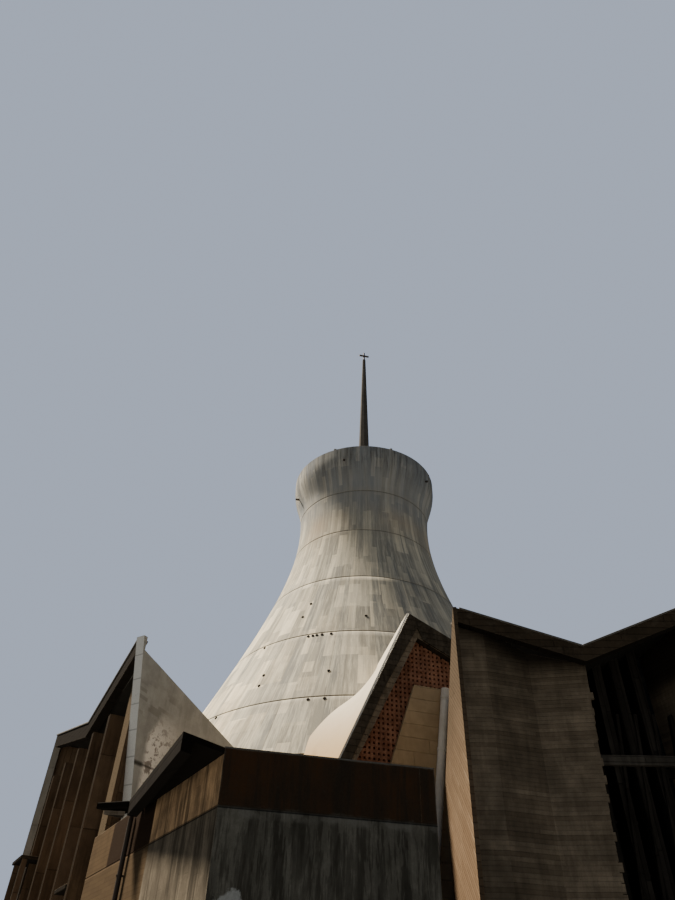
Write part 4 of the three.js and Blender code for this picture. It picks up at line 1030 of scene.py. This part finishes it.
# The fins' last colour is painted shade on the left screens' outer faces
FIN_BROWN = boarded_finish(
    "Brown fin concrete", colour=(0.18, 0.118, 0.07), dark=(0.065, 0.042, 0.025), light=(0.26, 0.185, 0.12),
    along=UP, across=left_run, width=0.19, length=2.8, streaks=0.4, tone=0.35, line=0.35, worn=0.1,
    front_shade=(0.016, 0.0105, 0.006),
)
BAY_DARK = boarded_finish(
    "Bay fin concrete", colour=(0.034, 0.029, 0.024), dark=(0.015, 0.012, 0.010), light=(0.075, 0.065, 0.054),
    along=UP, across=LENGTHWAYS, width=0.2, length=2.8, streaks=0.45,
)
BAY_PALE = boarded_finish(
    "Bay transom concrete", colour=(0.11, 0.095, 0.078), dark=(0.04, 0.034, 0.027), light=(0.15, 0.13, 0.11),
    along=LENGTHWAYS, across=UP, width=0.2, length=2.8, streaks=0.4,
)
WEDGE_BOARDS = boarded_finish(
    "Beige raked boards", colour=(0.165, 0.112, 0.070), dark=(0.10, 0.066, 0.040), light=(0.23, 0.165, 0.11),
    along=(0, 0.78, 0.62), across=(0, -0.62, 0.78), width=0.17, length=2.2, streaks=0.2,
    stain=(0.10, 0.062, 0.035), tone=0.45, line=0.25, patches=0.3, head=((0.058, 0.043, 0.029), 6.5, 12.5),
)
FOLD_BOARDS = fold_finish()
BEIGE_BOARDS = boarded_finish(
    "Beige level boards", colour=(0.50, 0.36, 0.215), dark=(0.42, 0.29, 0.165), light=(0.68, 0.51, 0.32),
    along=(1, 0.35, 0), across=UP, width=0.6, length=5.0, streaks=0.15, stain=(0.16, 0.10, 0.05), tone=0.15,
    line=0.12, patches=0.3,
)
END_BOARDS = boarded_finish(
    "Pale end wall boards", colour=(0.36, 0.32, 0.26), dark=(0.19, 0.165, 0.13), light=(0.48, 0.43, 0.36),
    along=UP, across=(0, 1, 0), width=0.3, length=3.0, streaks=0.4, stain=(0.14, 0.12, 0.095), tone=0.35,
    line=0.35,
)
RING = boarded_finish(
    "Ring beam concrete", colour=(0.36, 0.34, 0.30), dark=(0.2, 0.19, 0.16), light=(0.46, 0.44, 0.4),
    along=UP, across=(0.7, 0.7, 0), width=0.3, length=3.0, streaks=0.3,
)

NODE_FINISH = {
    "fascia": FASCIA,
    "left_fin_screen": FIN_BROWN,
    "right_fin_screen": FIN_BROWN,
    "glazing": GLASS,
    "left_gable_wall": GREY_BOARDS,
    "left_roof": FELT,
    "right_roof": FELT,
    "annex_roof": FELT,
    "tower_cap": FELT,
    "wedge_wall": WEDGE_BOARDS,
    "folded_wall": FOLD_BOARDS,
    "corner_wall": FOLD_BOARDS,
    "bay_screen": BAY_DARK,
    "gable_frame": FRAME_LIGHT,
    "gable_wall": BEIGE_BOARDS,
    "gable_roof": WHITE_ROOF,
    "annex_walls": ANNEX,
    "annex_canopy": CANOPY,
    "ring_beam_and_piers": RING,
    "spire": SPIRE,
    "cross": CROSS_STEEL,
    "floor_slab": FLOOR_SLABS,
    "end_wall": END_BOARDS,
    "tower_lift": TOWER,
    "tile_screen": CLAY,
    "rain_pipe": PIPE_PAINT,
}


def dress_nodes():
    """Gives each CAD node the finish whose key is the longest that its name holds."""
    for name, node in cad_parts.items():
        keys = [key for key in NODE_FINISH if key in name]
        finish = NODE_FINISH[max(keys, key=len)]
        for material_slot in node.material_slots:
            material_slot.material = finish


# The tower's pieces


def shell_radius(height):
    """The shell's radius: a hyperbola about the neck, then a sine flare up to the rim."""
    height = np.asarray(height, float)
    hyperbola = np.hypot(NECK_RADIUS, SPREAD * (NECK_HEIGHT - np.minimum(height, FLARE_START)))
    rise = np.clip((height - FLARE_START) / (FLARE_END - FLARE_START), 0, 1)
    return hyperbola + (RIM_RADIUS - hyperbola) * np.sin(rise * np.pi / 2) ** 1.5


def tower_shell():
    """Each lift as a smooth shell: a closed profile of outer and inner radii with a chamfer at each joint."""
    sectors, levels, chamfer = 240, 14, 0.03
    for i in range(1, LIFT_COUNT + 1):
        low, high = (corner[2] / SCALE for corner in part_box(f"tower_lift_{i}"))
        outside = np.linspace(low + chamfer, high - chamfer, levels)
        heights = np.concatenate([[low], outside, [high], [high], outside[::-1], [low]])
        inward = np.concatenate([[chamfer], np.zeros(levels), [chamfer], np.full(levels + 2, SHELL_WALL)])
        points, faces = lathe(shell_radius(heights) - inward, heights, sectors)
        shell = add_piece(f"tower_shell_{i}", points, faces, TOWER, "tower_concrete", sharp=35)
        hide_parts(f"tower_lift_{i}")


# Formwork holes left in the shell, as (bearing in degrees, height)
FORM_HOLES = (
    (-115.6, 22.2), (-117.2, 21.1), (-110.8, 19.25), (-109.0, 19.25), (-107.4, 19.25), (-105.4, 19.25),
    (-101.9, 19.25), (-89.0, 20.65), (-131.0, 19.25), (-122.6, 16.8), (-122.1, 16.05), (-100.1, 16.4),
    (-99.8, 14.55), (-104.1, 14.55), (-133.7, 14.55),
)
HOLE_RADIUS = 0.085
HOLE_DEPTH = 0.1
HOLE_LIP = 0.03


def round_tower(bearing, height, reach=0.0):
    """A place that stands a reach out from the shell at a bearing in degrees, and the level way outwards."""
    turn = math.radians(bearing)
    outwards = np.array([math.cos(turn), math.sin(turn), 0.0])
    return outwards * (float(shell_radius(height)) + reach) + (0, 0, height), outwards


def form_holes():
    """Short near-black plugs that stand for the shade in the formwork tie holes: those seen on the street
    side, and more round the back.
    """
    order = np.arange(14)
    unseen = np.column_stack([order * 17.0 - 48.0, 14.55 + 4.7 * (order % 3)])
    parts = []
    for bearing, height in np.concatenate([FORM_HOLES, unseen]):
        centre, outwards = round_tower(bearing, height)
        tilted = outwards + (0, 0, 0.5)
        tilted /= np.linalg.norm(tilted)
        parts.append(tube(centre - HOLE_DEPTH * tilted, centre + HOLE_LIP * tilted, HOLE_RADIUS, sides=12))
    add_piece("tower_form_holes", *joined(*parts), HOLE_SHADE, "steel")


# Rain spouts through the crown, as (bearing in degrees, height, how far they stand out)
SPOUTS = (
    (-30.0, 35.2, 0.2), (-105.5, 35.2, 0.15), (-163.0, 34.3, 0.3),
    (20.0, 35.2, 0.2), (75.0, 34.3, 0.3), (130.0, 35.2, 0.2),
)
SPOUT_WIDTH = 0.13
LUG_BEARINGS = (-113.9, -67.6, -20.0, 25.0, 70.0, 115.0, 160.0)
LUG_FOOT = 36.45
LUG_HEIGHT = 0.2
LUG_WIDTH = 0.22


def crown_spouts():
    """Square spouts that stand out of the crown, and small lugs on its rim."""
    starts = [round_tower(bearing, height, -0.1)[0] + (0, 0, 0.05) for bearing, height, _ in SPOUTS]
    ends = [round_tower(bearing, height, reach)[0] for bearing, height, reach in SPOUTS]
    add_piece("crown_spouts", *bars(starts, ends, SPOUT_WIDTH, SPOUT_WIDTH, UP), STEEL, "steel", bevel=0.02)
    turn = np.radians(LUG_BEARINGS)
    foot = np.column_stack([np.cos(turn), np.sin(turn)]) * (RIM_RADIUS - 0.15)
    low = np.column_stack([foot, np.full(len(turn), LUG_FOOT)])
    high = low + (0, 0, LUG_HEIGHT)
    lugs = bars(low, high, LUG_WIDTH, LUG_WIDTH, LENGTHWAYS)
    add_piece("crown_lugs", *lugs, TOWER, "tower_concrete", bevel=0.02)


# The halls' pieces


def window_bars(name, line, inset, fins, edge, roots, steps):
    """Steel bars before the glass: uprights that divide each gap between fins, and level bars across it."""
    front, back = inset + FIN_WALL - 0.12, inset + FIN_WALL - 0.04
    fins = np.asarray(fins, float)
    gaps = np.column_stack([fins[:-1] + FIN_WALL / 2, fins[1:] - FIN_WALL / 2])
    shares = np.arange(1, steps + 1) / (steps + 1)
    middles = (gaps[:, :1] + (gaps[:, 1:] - gaps[:, :1]) * shares).ravel()
    uprights = np.column_stack([middles - 0.04, middles + 0.04])
    tops = under_roof(line, uprights, back, edge, roots)
    level = np.repeat(TRANSOM_LEVELS, len(gaps))
    spans = np.tile(gaps, (len(TRANSOM_LEVELS), 1))
    kept = level < under_roof(line, spans, back, edge, roots).min(axis=1)
    lows = level[kept][:, None]
    upright_bars = blocks(line, uprights, (front, back), SILL, tops)
    level_bars = blocks(line, spans[kept], (front - 0.02, back - 0.02), lows, lows + 0.09)
    mirrored(name, *joined(upright_bars, level_bars), STEEL, "steel")


def coping(name, line, stations):
    """A thin metal coping on a fascia's top, which follows its corners."""
    along = np.array([s for s, _ in stations], float)
    top = np.array([z for _, z in stations], float)
    pairs = np.column_stack([along[:-1], along[1:]])
    heights = np.column_stack([top[:-1], top[1:]])
    points, faces = blocks(line, pairs, (-0.05, FASCIA_WALL + 0.05), heights - 0.02, heights + 0.05)
    mirrored(name, points, faces, COPING, "steel", bevel=0.01)


def hall_details():
    """Window bars behind both fin screens, and copings on the three zigzag fascias."""
    fins = np.linspace(FIRST_FIN, LAST_FIN, FIN_COUNT)
    edges = np.concatenate([[SCREEN_START - FIN_WALL / 2], fins, [BUTTRESS_START + FIN_WALL / 2]])
    window_bars("left_window_bars", left_line, SCREEN_INSET, edges, LEFT_EDGE, LEFT_ROOTS, steps=3)
    right_edges = (right_line[2] - edges)[::-1]
    window_bars("right_window_bars", right_line, SCREEN_INSET, right_edges, RIGHT_EDGE, RIGHT_ROOTS, steps=3)
    left_valley = (plan_line(LEFT_END_PEAK, LEFT_VALLEY)[2], LEFT_VALLEY[2])
    bay_valley = (BAY_VALLEY[0] - WEDGE_PEAK[0], BAY_VALLEY[2])
    right_valley = (plan_line(CORNER_PEAK, RIGHT_VALLEY)[2], RIGHT_VALLEY[2])
    before_ridge = (left_line[2] - 0.32, 14.76)
    after_wedge = (0.25, 14.72)
    right_end = (right_line[2], RIGHT_END_PEAK[2])
    coping("left_coping", left_line, ((0.0, LEFT_END_PEAK[2]), left_valley, before_ridge))
    coping("bay_coping", bay_line, (after_wedge, bay_valley, (bay_line[2], CORNER_PEAK[2])))
    coping("right_coping", right_line, ((0.0, CORNER_PEAK[2]), right_valley, right_end))


def porch():
    """A low porch before the left screen's first bays: a thin hood, dark doors, and a ledge further on."""
    hood_foot, ledge_foot, door_head = 8.0, 5.72, 6.6
    hood = blocks(left_line, (1.7, 4.1), (-0.6, 1.3), hood_foot, hood_foot + 0.15)
    ledge = blocks(left_line, (11.7, 13.65), (0.0, 1.3), ledge_foot, ledge_foot + 0.16)
    mirrored("porch_hood", *joined(hood, ledge), FASCIA, "dark_concrete", bevel=0.02)
    posts = np.array([[1.75, 1.95], [3.85, 4.05]])
    shafts = blocks(left_line, posts, (-0.5, -0.25), FLOOR - 0.29, hood_foot + 0.01)
    lintel = blocks(left_line, (0.4, 5.25), (0.75, 1.2), door_head, hood_foot + 0.01)
    mirrored("porch_posts", *joined(shafts, lintel), FIN_BROWN, "brown_concrete", bevel=0.02)
    leaves = np.array([[0.42, 1.45], [1.49, 2.5], [2.9, 4.05], [4.09, 5.25]])
    doors = blocks(left_line, leaves, (0.9, 1.0), FLOOR + 0.05, door_head)
    mirrored("porch_doors", *doors, STEEL, "steel", bevel=0.02)


def end_line(peak):
    """The level line along an end wall, from the long axis towards the back."""
    return np.array([peak[0], 0.0]), np.array([0.0, 1.0]), 1.0


def end_walls():
    """Shallow upright ribs on both end walls, and a frame with a lintel round the doorway."""
    rib_half, rib_top = 0.16, 12.6
    for name, peak, sign, count in (("left", LEFT_END_PEAK, -1, 5), ("right", RIGHT_END_PEAK, 1, 9)):
        reach = abs(peak[1]) - 0.3
        middles = np.linspace(-reach, reach, count)
        if name == "left":
            middles = middles[np.abs(middles) > DOORWAY_HALF + 0.4]
        spans = np.column_stack([middles - rib_half, middles + rib_half])
        points, faces = blocks(end_line(peak), spans, (-0.05 * sign, 0.06 * sign), FLOOR + 0.02, rib_top)
        add_piece(f"{name}_end_ribs", points, faces[:, ::sign], END_BOARDS, "pale_concrete")
    line = end_line(LEFT_END_PEAK)
    half, head, back, jamb, ear = DOORWAY_HALF, FLOOR + 3.4, -0.41, 0.18, 0.4
    jambs = blocks(line, [[-half - jamb, -half], [half, half + jamb]], (0.12, back), FLOOR, head)
    lintel = blocks(line, (-half - ear, half + ear), (0.3, back), head, head + 0.28)
    points, faces = joined(jambs, lintel)
    add_piece("doorway_frame", points, [face[::-1] for face in faces], FASCIA, "dark_concrete", bevel=0.02)


def roof_runs(edge, roots, gap):
    """Straight runs up the folded roof, from a gap inside its edge to just inside its roots."""
    starts, ends = np.array(edge), np.array(roots)
    run = (ends - starts) / np.linalg.norm(ends - starts, axis=1, keepdims=True)
    root_gap = 0.1
    return starts + gap * run, ends - root_gap * run


def roof_ridges():
    """Caps along the ridges and valleys, from the roof's edge to the tower, and a gutter on the long axis."""
    runs = roof_runs([*LEFT_EDGE[1:], *RIGHT_EDGE[:-1]], [*LEFT_ROOTS[1:], *RIGHT_ROOTS[:-1]], 1.1)
    width, depth = 0.3, 0.12
    mirrored("roof_ridge_caps", *bars(*runs, width, depth, UP), COPING, "steel", bevel=0.02)
    runs = roof_runs([LEFT_END_MIDDLE, RIGHT_END_MIDDLE], [LEFT_ROOTS[0], RIGHT_ROOTS[-1]], 0.5)
    width, depth = 0.4, 0.1
    add_piece("roof_middle_gutters", *bars(*runs, width, depth, UP), COPING, "steel", bevel=0.02)


def bay_details():
    """The deep bay: window bars, slanting fins before them and a pale transom across them."""
    start, end = FOLD_TWO[0] - WEDGE_PEAK[0], bay_line[2] - 1.17
    count, lean, head, inset = 4, 0.1, 11.4, BAY_INSET - 0.75
    fins = np.linspace(start + 0.8, end - 1.1, count)
    window_bars("bay_window_bars", bay_line, BAY_INSET, fins, RIGHT_EDGE, RIGHT_ROOTS, steps=1)
    feet = np.linspace(start + 0.9, end - 1.2, count)
    low = place(bay_line, feet, inset, SILL)
    high = place(bay_line, np.minimum(feet + lean * (head - SILL), end - 0.2), inset, head)
    points, faces = bars(low, high, 0.12, 0.3, (0, 1, 0))
    mirrored("bay_slanting_fins", points, faces, BAY_DARK, "dark_concrete", bevel=0.02)
    transom = blocks(bay_line, (start + 0.1, end - 0.05), (BAY_INSET - 1.02, BAY_INSET - 0.8), 9.5, 9.85)
    mirrored("bay_transom", *transom, BAY_PALE, "pale_concrete", bevel=0.02)


def fold_board_ends():
    """Ragged ends of the level boards along the folded wall's leaning edge: one short block a course."""
    course = 0.29
    low = np.arange(FLOOR + 0.1, 12.0, course)
    rise = (low + course / 2 - FLOOR) / (BAY_VALLEY[2] - FASCIA_DEPTH - FLOOR)
    edge = fold_two_line[2] + FOLD_LEAN * rise
    reach = rng.uniform(-0.01, 0.13, len(low)) * (rng.random(len(low)) > 0.35)
    along = np.column_stack([edge - 0.3, edge + 0.01 + reach])
    low = low[:, None]
    points, faces = blocks(fold_two_line, along, (0.02, 0.12), low, low + course - 0.03)
    mirrored("fold_board_ends", points, faces, FOLD_BOARDS, "brown_concrete")


# The middle gable's pieces

GABLE_LEFT_SLOPE = 2.118
GABLE_RIGHT_SLOPE = 0.445
INNER_LEFT_SLOPE = 1.937
INNER_RIGHT_SLOPE = 0.45
INNER_PEAK = (0.43, 16.78)
GABLE_FOOT = 8.2
POST_INSIDE = 3.8
POST_TOP = INNER_PEAK[1] - INNER_RIGHT_SLOPE * (POST_INSIDE - INNER_PEAK[0])
PANEL_TOP = 14.45
PANEL_CORNER = 0.22
PANEL_SLOPE = 2.887


def inner_left(height):
    return INNER_PEAK[0] - (INNER_PEAK[1] - height) / INNER_LEFT_SLOPE


def panel_left(height):
    return PANEL_CORNER - (PANEL_TOP - height) / PANEL_SLOPE


GABLE_HANG = 7.9
SKIN_EDGE = ((-4.11, 8.2), (-2.99, 10.58), (-1.32, 14.14), (0.41, 17.28))  # where it stops on the left leg


def gable_skin():
    """A darker skin, proud of the frame, over its left leg's outer half and all its right leg and post."""
    outline = [
        (-(GABLE_PEAK[2] - GABLE_FOOT) / GABLE_LEFT_SLOPE, GABLE_FOOT),
        *SKIN_EDGE,
        (INNER_PEAK[0] + 0.28, INNER_PEAK[1] - 0.12),
        (POST_INSIDE, POST_TOP),
        (POST_INSIDE, GABLE_HANG),
        (GABLE_WIDTH, GABLE_HANG),
        (GABLE_WIDTH, GABLE_PEAK[2] - GABLE_RIGHT_SLOPE * GABLE_WIDTH),
        (0.0, GABLE_PEAK[2]),
    ]
    thickness = 0.1
    points, faces = slab(gable_line, outline, -thickness, thickness)
    mirrored("gable_skin", points, faces, FRAME_DARK, "dark_concrete", bevel=0.02)


# Heights on the left leg, and where the ruling from each meets the tower
LEG_STATIONS = (8.2, 9.2, 10.3, 12.0, 13.9, 15.8, 18.0)
ROOF_MEETS = (
    (-4.1, -12.5, 8.4), (-3.45, -12.8, 10.3), (-2.63, -12.83, 11.6), (-1.6, -12.28, 12.9),
    (-0.68, -11.66, 14.2), (0.15, -10.97, 15.5), (0.87, -10.22, 16.8),
)
ROOF_LIFT = 0.09  # how far the smooth skin stands over the model's folded faces
ROOF_SINK = 0.12  # how far it reaches into them
ROOF_REACH = 1.12  # how far the rulings run, as a share of their length to the tower


def gable_roof_skin():
    """The middle gable's left roof as one warped skin.

    Straight rulings run from the left leg to the tower. The leg's ends lie evenly on its straight line, and
    the tower's ends on a cubic curve through the measured meeting places.
    """
    rulings, steps = 49, 20
    height = np.linspace(GABLE_FOOT, GABLE_PEAK[2], rulings)
    leg = place(gable_line, -(GABLE_PEAK[2] - height) / GABLE_LEFT_SLOPE, -0.02, height)
    cubics = np.polyfit(LEG_STATIONS, np.array(ROOF_MEETS), 3)
    meet = np.stack([np.polyval(cubics[:, axis], height) for axis in range(3)], axis=-1)
    share = np.linspace(0.0, ROOF_REACH, steps)[:, None, None]
    surface = leg + share * (meet - leg)
    across, upward = meet - leg, np.gradient(leg + 0.5 * (meet - leg), axis=0)
    normal = np.cross(upward, across)
    normal /= np.linalg.norm(normal, axis=1, keepdims=True)
    normal *= np.sign(normal[:, 2:])
    outer, inner = surface + ROOF_LIFT * normal, surface - ROOF_SINK * normal
    loop = np.concatenate([outer, inner[::-1]])
    numbers = np.arange(len(loop) * rulings).reshape(-1, rulings)
    ends = [numbers[:, 0].tolist(), numbers[::-1, -1].tolist()]
    faces = grid_faces(len(loop), rulings, True, False).tolist() + ends
    mirrored("gable_roof_skin", loop, faces, WHITE_ROOF, "pale_concrete", sharp=40)


def clay_lattice():
    """The tile screen: upright and level clay bars, clipped to the L between frame and boarded wall."""
    pitch, bar, inset, depth = 0.225, 0.12, 0.4, 0.2
    first = inner_left(GABLE_FOOT)
    middles = np.arange(first + 0.1, POST_INSIDE, pitch)
    left_tops = INNER_PEAK[1] - (INNER_PEAK[0] - middles) * INNER_LEFT_SLOPE
    right_tops = INNER_PEAK[1] - (middles - INNER_PEAK[0]) * INNER_RIGHT_SLOPE
    tops = np.minimum(left_tops, right_tops) + 0.1
    bottoms = np.where(middles < PANEL_CORNER, PANEL_TOP - (PANEL_CORNER - middles) * PANEL_SLOPE, PANEL_TOP)
    bottoms = np.maximum(bottoms, GABLE_FOOT)
    kept = tops - bottoms > 0.1
    middles, tops, bottoms = (part[kept][:, None] for part in (middles, tops, bottoms))
    spans = np.hstack([middles - bar / 2, middles + bar / 2])
    uprights = blocks(gable_line, spans, (inset, inset + depth), bottoms, tops)
    levels = np.arange(GABLE_FOOT + 0.15, INNER_PEAK[1], pitch)
    left = inner_left(levels) - 0.05
    right_of_roof = INNER_PEAK[0] + (INNER_PEAK[1] - levels) / INNER_RIGHT_SLOPE
    right = np.where(levels < PANEL_TOP, panel_left(levels), np.minimum(right_of_roof, POST_INSIDE)) + 0.02
    spans = np.column_stack([left, right])
    lows = levels[:, None] - bar / 2
    level_bars = blocks(gable_line, spans, (inset + 0.015, inset + depth - 0.015), lows, lows + bar)
    pieces = mirrored("clay_lattice", *joined(uprights, level_bars), CLAY, "terracotta")
    for piece, side in zip(pieces, ("front", "back")):
        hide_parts(f"gable_tile_screen_{side}")
    outline = [
        (first - 0.05, GABLE_FOOT),
        (panel_left(GABLE_FOOT) + 0.1, GABLE_FOOT),
        (PANEL_CORNER + 0.1, PANEL_TOP),
        (POST_INSIDE, PANEL_TOP),
        (POST_INSIDE, POST_TOP),
        INNER_PEAK,
    ]
    points, faces = slab(gable_line, outline, inset + depth + 0.12, 0.05)
    mirrored("gable_dark_backing", points, faces, BACKING, "terracotta")


PIPE_RADIUS = 0.19
PIPE_FOOT = (-0.39, -0.3)
PIPE_HEAD = (1.73, 14.4)


def rain_pipe():
    """The raking rain pipe: a smooth tube with a collar every few metres."""
    inset = 0.2 - PIPE_RADIUS - 0.01
    foot, head = (place(gable_line, along, inset, height) for along, height in (PIPE_FOOT, PIPE_HEAD))
    share = (FLOOR + 0.002 - PIPE_FOOT[1]) / (PIPE_HEAD[1] - PIPE_FOOT[1])
    start = foot + (head - foot) * share
    axis = (head - start) / np.linalg.norm(head - start)
    sides, collar_half, collar_radius = 32, 0.06, PIPE_RADIUS + 0.022
    parts = [tube(start, head, PIPE_RADIUS, sides=sides)]
    for middle in start + (head - start) * np.linspace(0.12, 0.97, 6)[:, None]:
        low, high = middle - collar_half * axis, middle + collar_half * axis
        parts.append(tube(low, high, collar_radius, sides=sides))
    pipe = add_piece("rain_pipe_finished", *joined(*parts), PIPE_PAINT, "grey_pipe", sharp=40)
    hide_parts("rain_pipe")


# The annex's pieces


def annex_details():
    """The hood over the side entrance with a pale ledge under it, a downpipe, and the front's coping."""
    hood = [(-6.6, -22.6), (-7.5, -22.1), (-8.07, -22.75), (-7.04, -23.05)]
    hood_slab = plan_slab(hood, ANNEX_TOP - 0.2, ANNEX_TOP - 0.03)
    mirrored("side_hood", *hood_slab, CANOPY, "dark_concrete", bevel=0.02)
    ledge = [(-7.78, -22.8), (-7.5, -22.5), (-7.3, -22.4), (-7.15, -22.75)]
    ledge_slab = plan_slab(ledge, ANNEX_TOP - 0.36, ANNEX_TOP - 0.25)
    mirrored("side_ledge", *ledge_slab, FRAME_LIGHT, "dark_concrete")
    along, inset = 5.25, -0.12
    foot, head = (place(annex_left_line, along, inset, height) for height in (0.32, ANNEX_TOP - CANOPY_SLAB))
    pipe_radius, bracket_radius = 0.075, 0.03
    parts = [tube(foot, head, pipe_radius, sides=20)]
    for height in np.arange(1.2, 6.2, 1.3):
        start, end = (place(annex_left_line, along, inset + step, height) for step in (-0.1, 0.14))
        parts.append(tube(start, end, bracket_radius, sides=8))
    mirrored("annex_downpipe", *joined(*parts), STEEL, "steel", sharp=40)
    whole = (0.0, annex_front_line[2])
    front = blocks(annex_front_line, whole, (0.0, WALL), ANNEX_TOP - 0.01, ANNEX_TOP + 0.03)
    mirrored("annex_front_coping", *front, COPING, "steel")


# Camera, light and floor

CAMERA_PLACE = (0.0, -22.5, 0.8)  # model metres
HEADING = math.radians(2.97)
PITCH = math.radians(41.2)
ROLL = math.radians(2.04)
LENS = 27.04
SUN_DIRECTION = np.array([-0.56, 0.22, 0.80])


def link(name, data):
    """A new object for some data, in the scene."""
    thing = bpy.data.objects.new(name, data)
    bpy.context.scene.collection.objects.link(thing)
    return thing


def camera():
    """The photo's viewpoint: turned by the heading, pitched up and rolled."""
    data = bpy.data.cameras.new("Camera")
    data.lens = LENS
    data.sensor_width = 36.0
    data.clip_start, data.clip_end = 0.1, 1000.0
    forward = np.array([-math.sin(HEADING), math.cos(HEADING), 0.0])
    level = np.array([math.cos(HEADING), math.sin(HEADING), 0.0])
    up = np.array(UP, float)
    ahead = forward * math.cos(PITCH) + up * math.sin(PITCH)
    overhead = -forward * math.sin(PITCH) + up * math.cos(PITCH)
    right = level * math.cos(ROLL) + overhead * math.sin(ROLL)
    top = overhead * math.cos(ROLL) - level * math.sin(ROLL)
    turn = Matrix(np.column_stack([right, top, -ahead]).tolist()).to_4x4()
    made = link("Camera", data)
    made.matrix_world = Matrix.Translation(CAMERA_PLACE) @ turn
    bpy.context.scene.camera = made


def sun():
    """A soft warm sun from the left."""
    data = bpy.data.lights.new("Key", "SUN")
    data.energy = 14.5
    data.angle = math.radians(9)
    data.color = (1.0, 0.905, 0.75)
    towards = SUN_DIRECTION / np.linalg.norm(SUN_DIRECTION)
    side = np.cross(UP, towards)
    side /= np.linalg.norm(side)
    turn = Matrix(np.column_stack([side, np.cross(towards, side), towards]).tolist())
    link("Key", data).rotation_euler = turn.to_euler()


def backdrop():
    """A plain grey-blue backdrop, which lights the building less than it shows."""
    world = bpy.data.worlds.new("Backdrop")
    world.use_nodes = True
    bpy.context.scene.world = world
    world.node_tree.nodes.clear()
    graph = Graph(world.node_tree)
    light = graph.node("ShaderNodeBackground")
    graph.feed(light.inputs["Color"], (0.64, 0.78, 1.0))
    light.inputs["Strength"].default_value = 0.15
    seen = graph.node("ShaderNodeBackground")
    graph.feed(seen.inputs["Color"], (0.42, 0.48, 0.60))
    choice = graph.node("ShaderNodeMixShader")
    graph.feed(choice.inputs[0], graph.node("ShaderNodeLightPath").outputs["Is Camera Ray"])
    graph.feed(choice.inputs[1], light.outputs[0])
    graph.feed(choice.inputs[2], seen.outputs[0])
    graph.feed(graph.node("ShaderNodeOutputWorld").inputs[0], choice.outputs[0])


def lay_ground():
    """A wide pale floor, which lights the walls less than it shows."""
    reach = 400.0
    mesh = bpy.data.meshes.new("Ground")
    corners = [(-reach, -reach, 0), (reach, -reach, 0), (reach, reach, 0), (-reach, reach, 0)]
    mesh.from_pydata(corners, [], [(0, 1, 2, 3)])
    pale = bpy.data.materials.new("Pale floor")
    pale.use_nodes = True
    graph = Graph(pale.node_tree)
    shown = graph.node("ShaderNodeLightPath").outputs["Is Camera Ray"]
    shade = graph.mix(shown, (0.105, 0.115, 0.125), (0.42, 0.41, 0.39))
    shader = pale.node_tree.nodes["Principled BSDF"]
    graph.feed(shader.inputs["Base Color"], shade)
    shader.inputs["Roughness"].default_value = 0.9
    mesh.materials.append(pale)
    ground = link("Ground", mesh)


dress_nodes()
tower_shell()
form_holes()
crown_spouts()
hall_details()
roof_ridges()
porch()
end_walls()
bay_details()
fold_board_ends()
gable_skin()
gable_roof_skin()
clay_lattice()
rain_pipe()
annex_details()
camera()
sun()
backdrop()
lay_ground()
